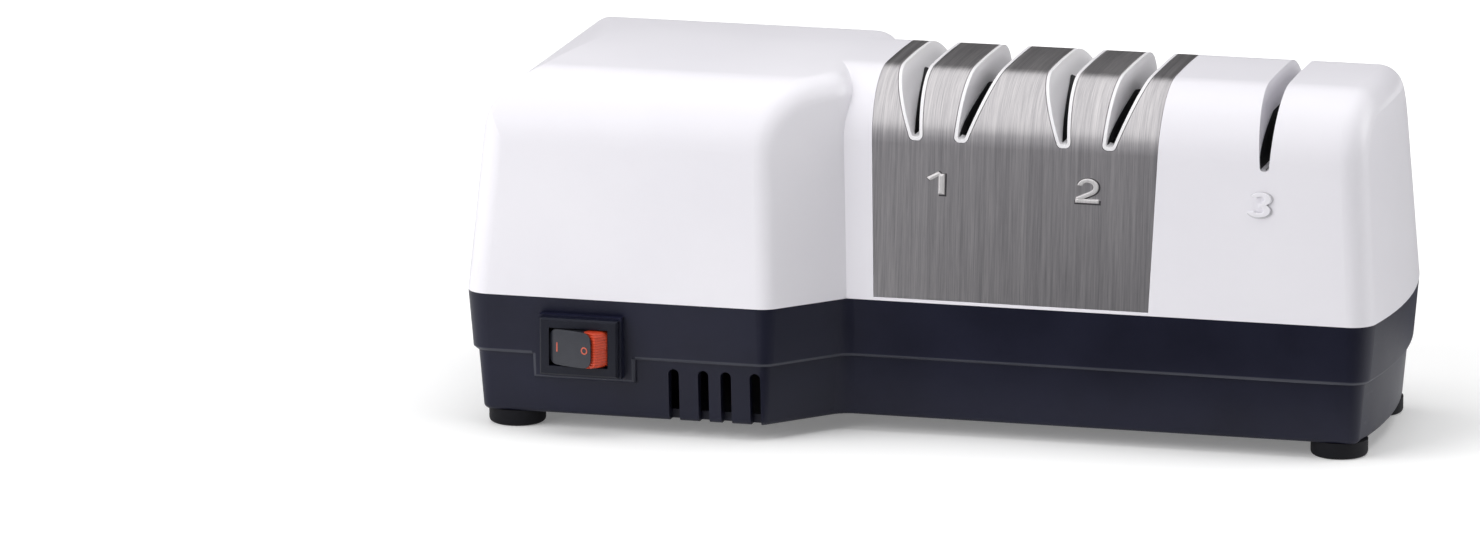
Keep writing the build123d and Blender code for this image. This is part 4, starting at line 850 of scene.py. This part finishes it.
def stage_number(name, figure, low_x, high_x, low_z, high_z, finish, height, edge):
    """A raised figure on the sloping front wall, fitted between the given edges."""
    bm = bmesh.new()
    for layer, stroke in enumerate(figure_strokes[figure]):
        before = set(bm.verts)
        ribbon(bm, *stroke)
        fresh = [v for v in bm.verts if v not in before]
        bmesh.ops.translate(bm, vec=(0, 0, stroke_offset * layer), verts=fresh)
    bmesh.ops.recalc_face_normals(bm, faces=bm.faces)
    raised = bmesh.ops.extrude_face_region(bm, geom=bm.faces[:])["geom"]
    lids = only(bmesh.types.BMFace, raised)
    bmesh.ops.translate(bm, vec=(0, 0, 1), verts=only(bmesh.types.BMVert, raised))
    ends = [[f(v.co[axis] for v in bm.verts) for f in (min, max)] for axis in range(3)]
    wanted = (high_x - low_x, (high_z - low_z) / math.cos(front_lean), 2 * height)
    bmesh.ops.translate(bm, vec=[-(a + b) / 2 for a, b in ends], verts=bm.verts)
    bmesh.ops.scale(bm, vec=[size / (b - a) for size, (a, b) in zip(wanted, ends)],
                    verts=bm.verts)
    top = [e for e in bm.edges
           if sum(f in lids for f in e.link_faces) == 1 and len(e.link_faces) == 2]
    bmesh.ops.recalc_face_normals(bm, faces=bm.faces)
    bmesh.ops.bevel(bm, geom=top, offset=edge, segments=3, profile=0.5, affect="EDGES",
                    material=-1, clamp_overlap=True)
    upright = Matrix.Rotation(math.pi / 2 - front_lean, 3, "X")
    bmesh.ops.rotate(bm, verts=bm.verts, matrix=upright)
    mid_z = (low_z + high_z) / 2
    face_y = wall_y + (mid_z - wall_foot_z) * math.tan(front_lean)
    bmesh.ops.translate(bm, vec=((low_x + high_x) / 2, face_y, mid_z), verts=bm.verts)
    bmesh.ops.recalc_face_normals(bm, faces=bm.faces)
    raised_figure = piece_from(bm, name)
    raised_figure.data.materials.append(finish.material)
    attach(raised_figure, "housing")


upright_squeeze = 0.03


def painted_tone_steel(name, metallic, dull, bright):
    """Steel with fine upright hairs between two tones, for painted light and shade copies."""
    steel = Finish(name, Metallic=metallic)
    x, _, z = steel.axes()
    upright = steel.add("ShaderNodeCombineXYZ", {}, {0: x, 1: z * upright_squeeze})
    hairs = steel.grain(4200.0, 3.0, 0.7, at=upright)
    steel.wear(hairs, dull, bright, roughness=0.22 + 0.16 * hairs, dents=(hairs, 0.00002, 0.4))
    return steel


# Painted highlight for the faces of 1 and 2, and painted shade for the outline round them.
highlight_steel = painted_tone_steel("painted_highlight_steel", 0.45, (0.62, 0.60, 0.61), (0.86, 0.84, 0.84))
shade_steel = painted_tone_steel("painted_shade_steel", 0.9, (0.10, 0.095, 0.10), (0.20, 0.19, 0.20))

# Painted shade round figure 3: a greyer copy of the hood white.
shade_outline = Finish("hood_painted_shade", IOR=1.5)
haze = shade_outline.grain(300.0, 3.0)
shade_outline.feed(Base_Color=shade_outline.mixed(haze, (0.56, 0.55, 0.58), (0.66, 0.65, 0.68)),
             Roughness=0.40 + 0.1 * haze)

# face is each figure's own finish, with the painted highlight on 1 and 2; foot is the painted
# shade copy laid round the figure.
for figure, low_x, high_x, low_z, high_z, face, foot, slot in (
        ("1", -0.0009, 0.0043, 0.0686, 0.0749, highlight_steel, shade_steel, "plate_steel"),
        ("2", 0.0410, 0.0476, 0.0685, 0.0752, highlight_steel, shade_steel, "plate_steel"),
        ("3", 0.0890, 0.0956, 0.0672, 0.0740, white, shade_outline, "hood_white")):
    stage_number("stage_number_" + figure, figure, low_x, high_x, low_z, high_z,
                 face, height=0.00080, edge=0.00060)
    # A slightly larger, darker flat copy under each figure: painted shade.
    stage_number("number_painted_shade_" + figure, figure, low_x - 0.0003, high_x + 0.0005,
                 low_z - 0.0005, high_z + 0.0002, foot, height=0.00010, edge=0.00004)
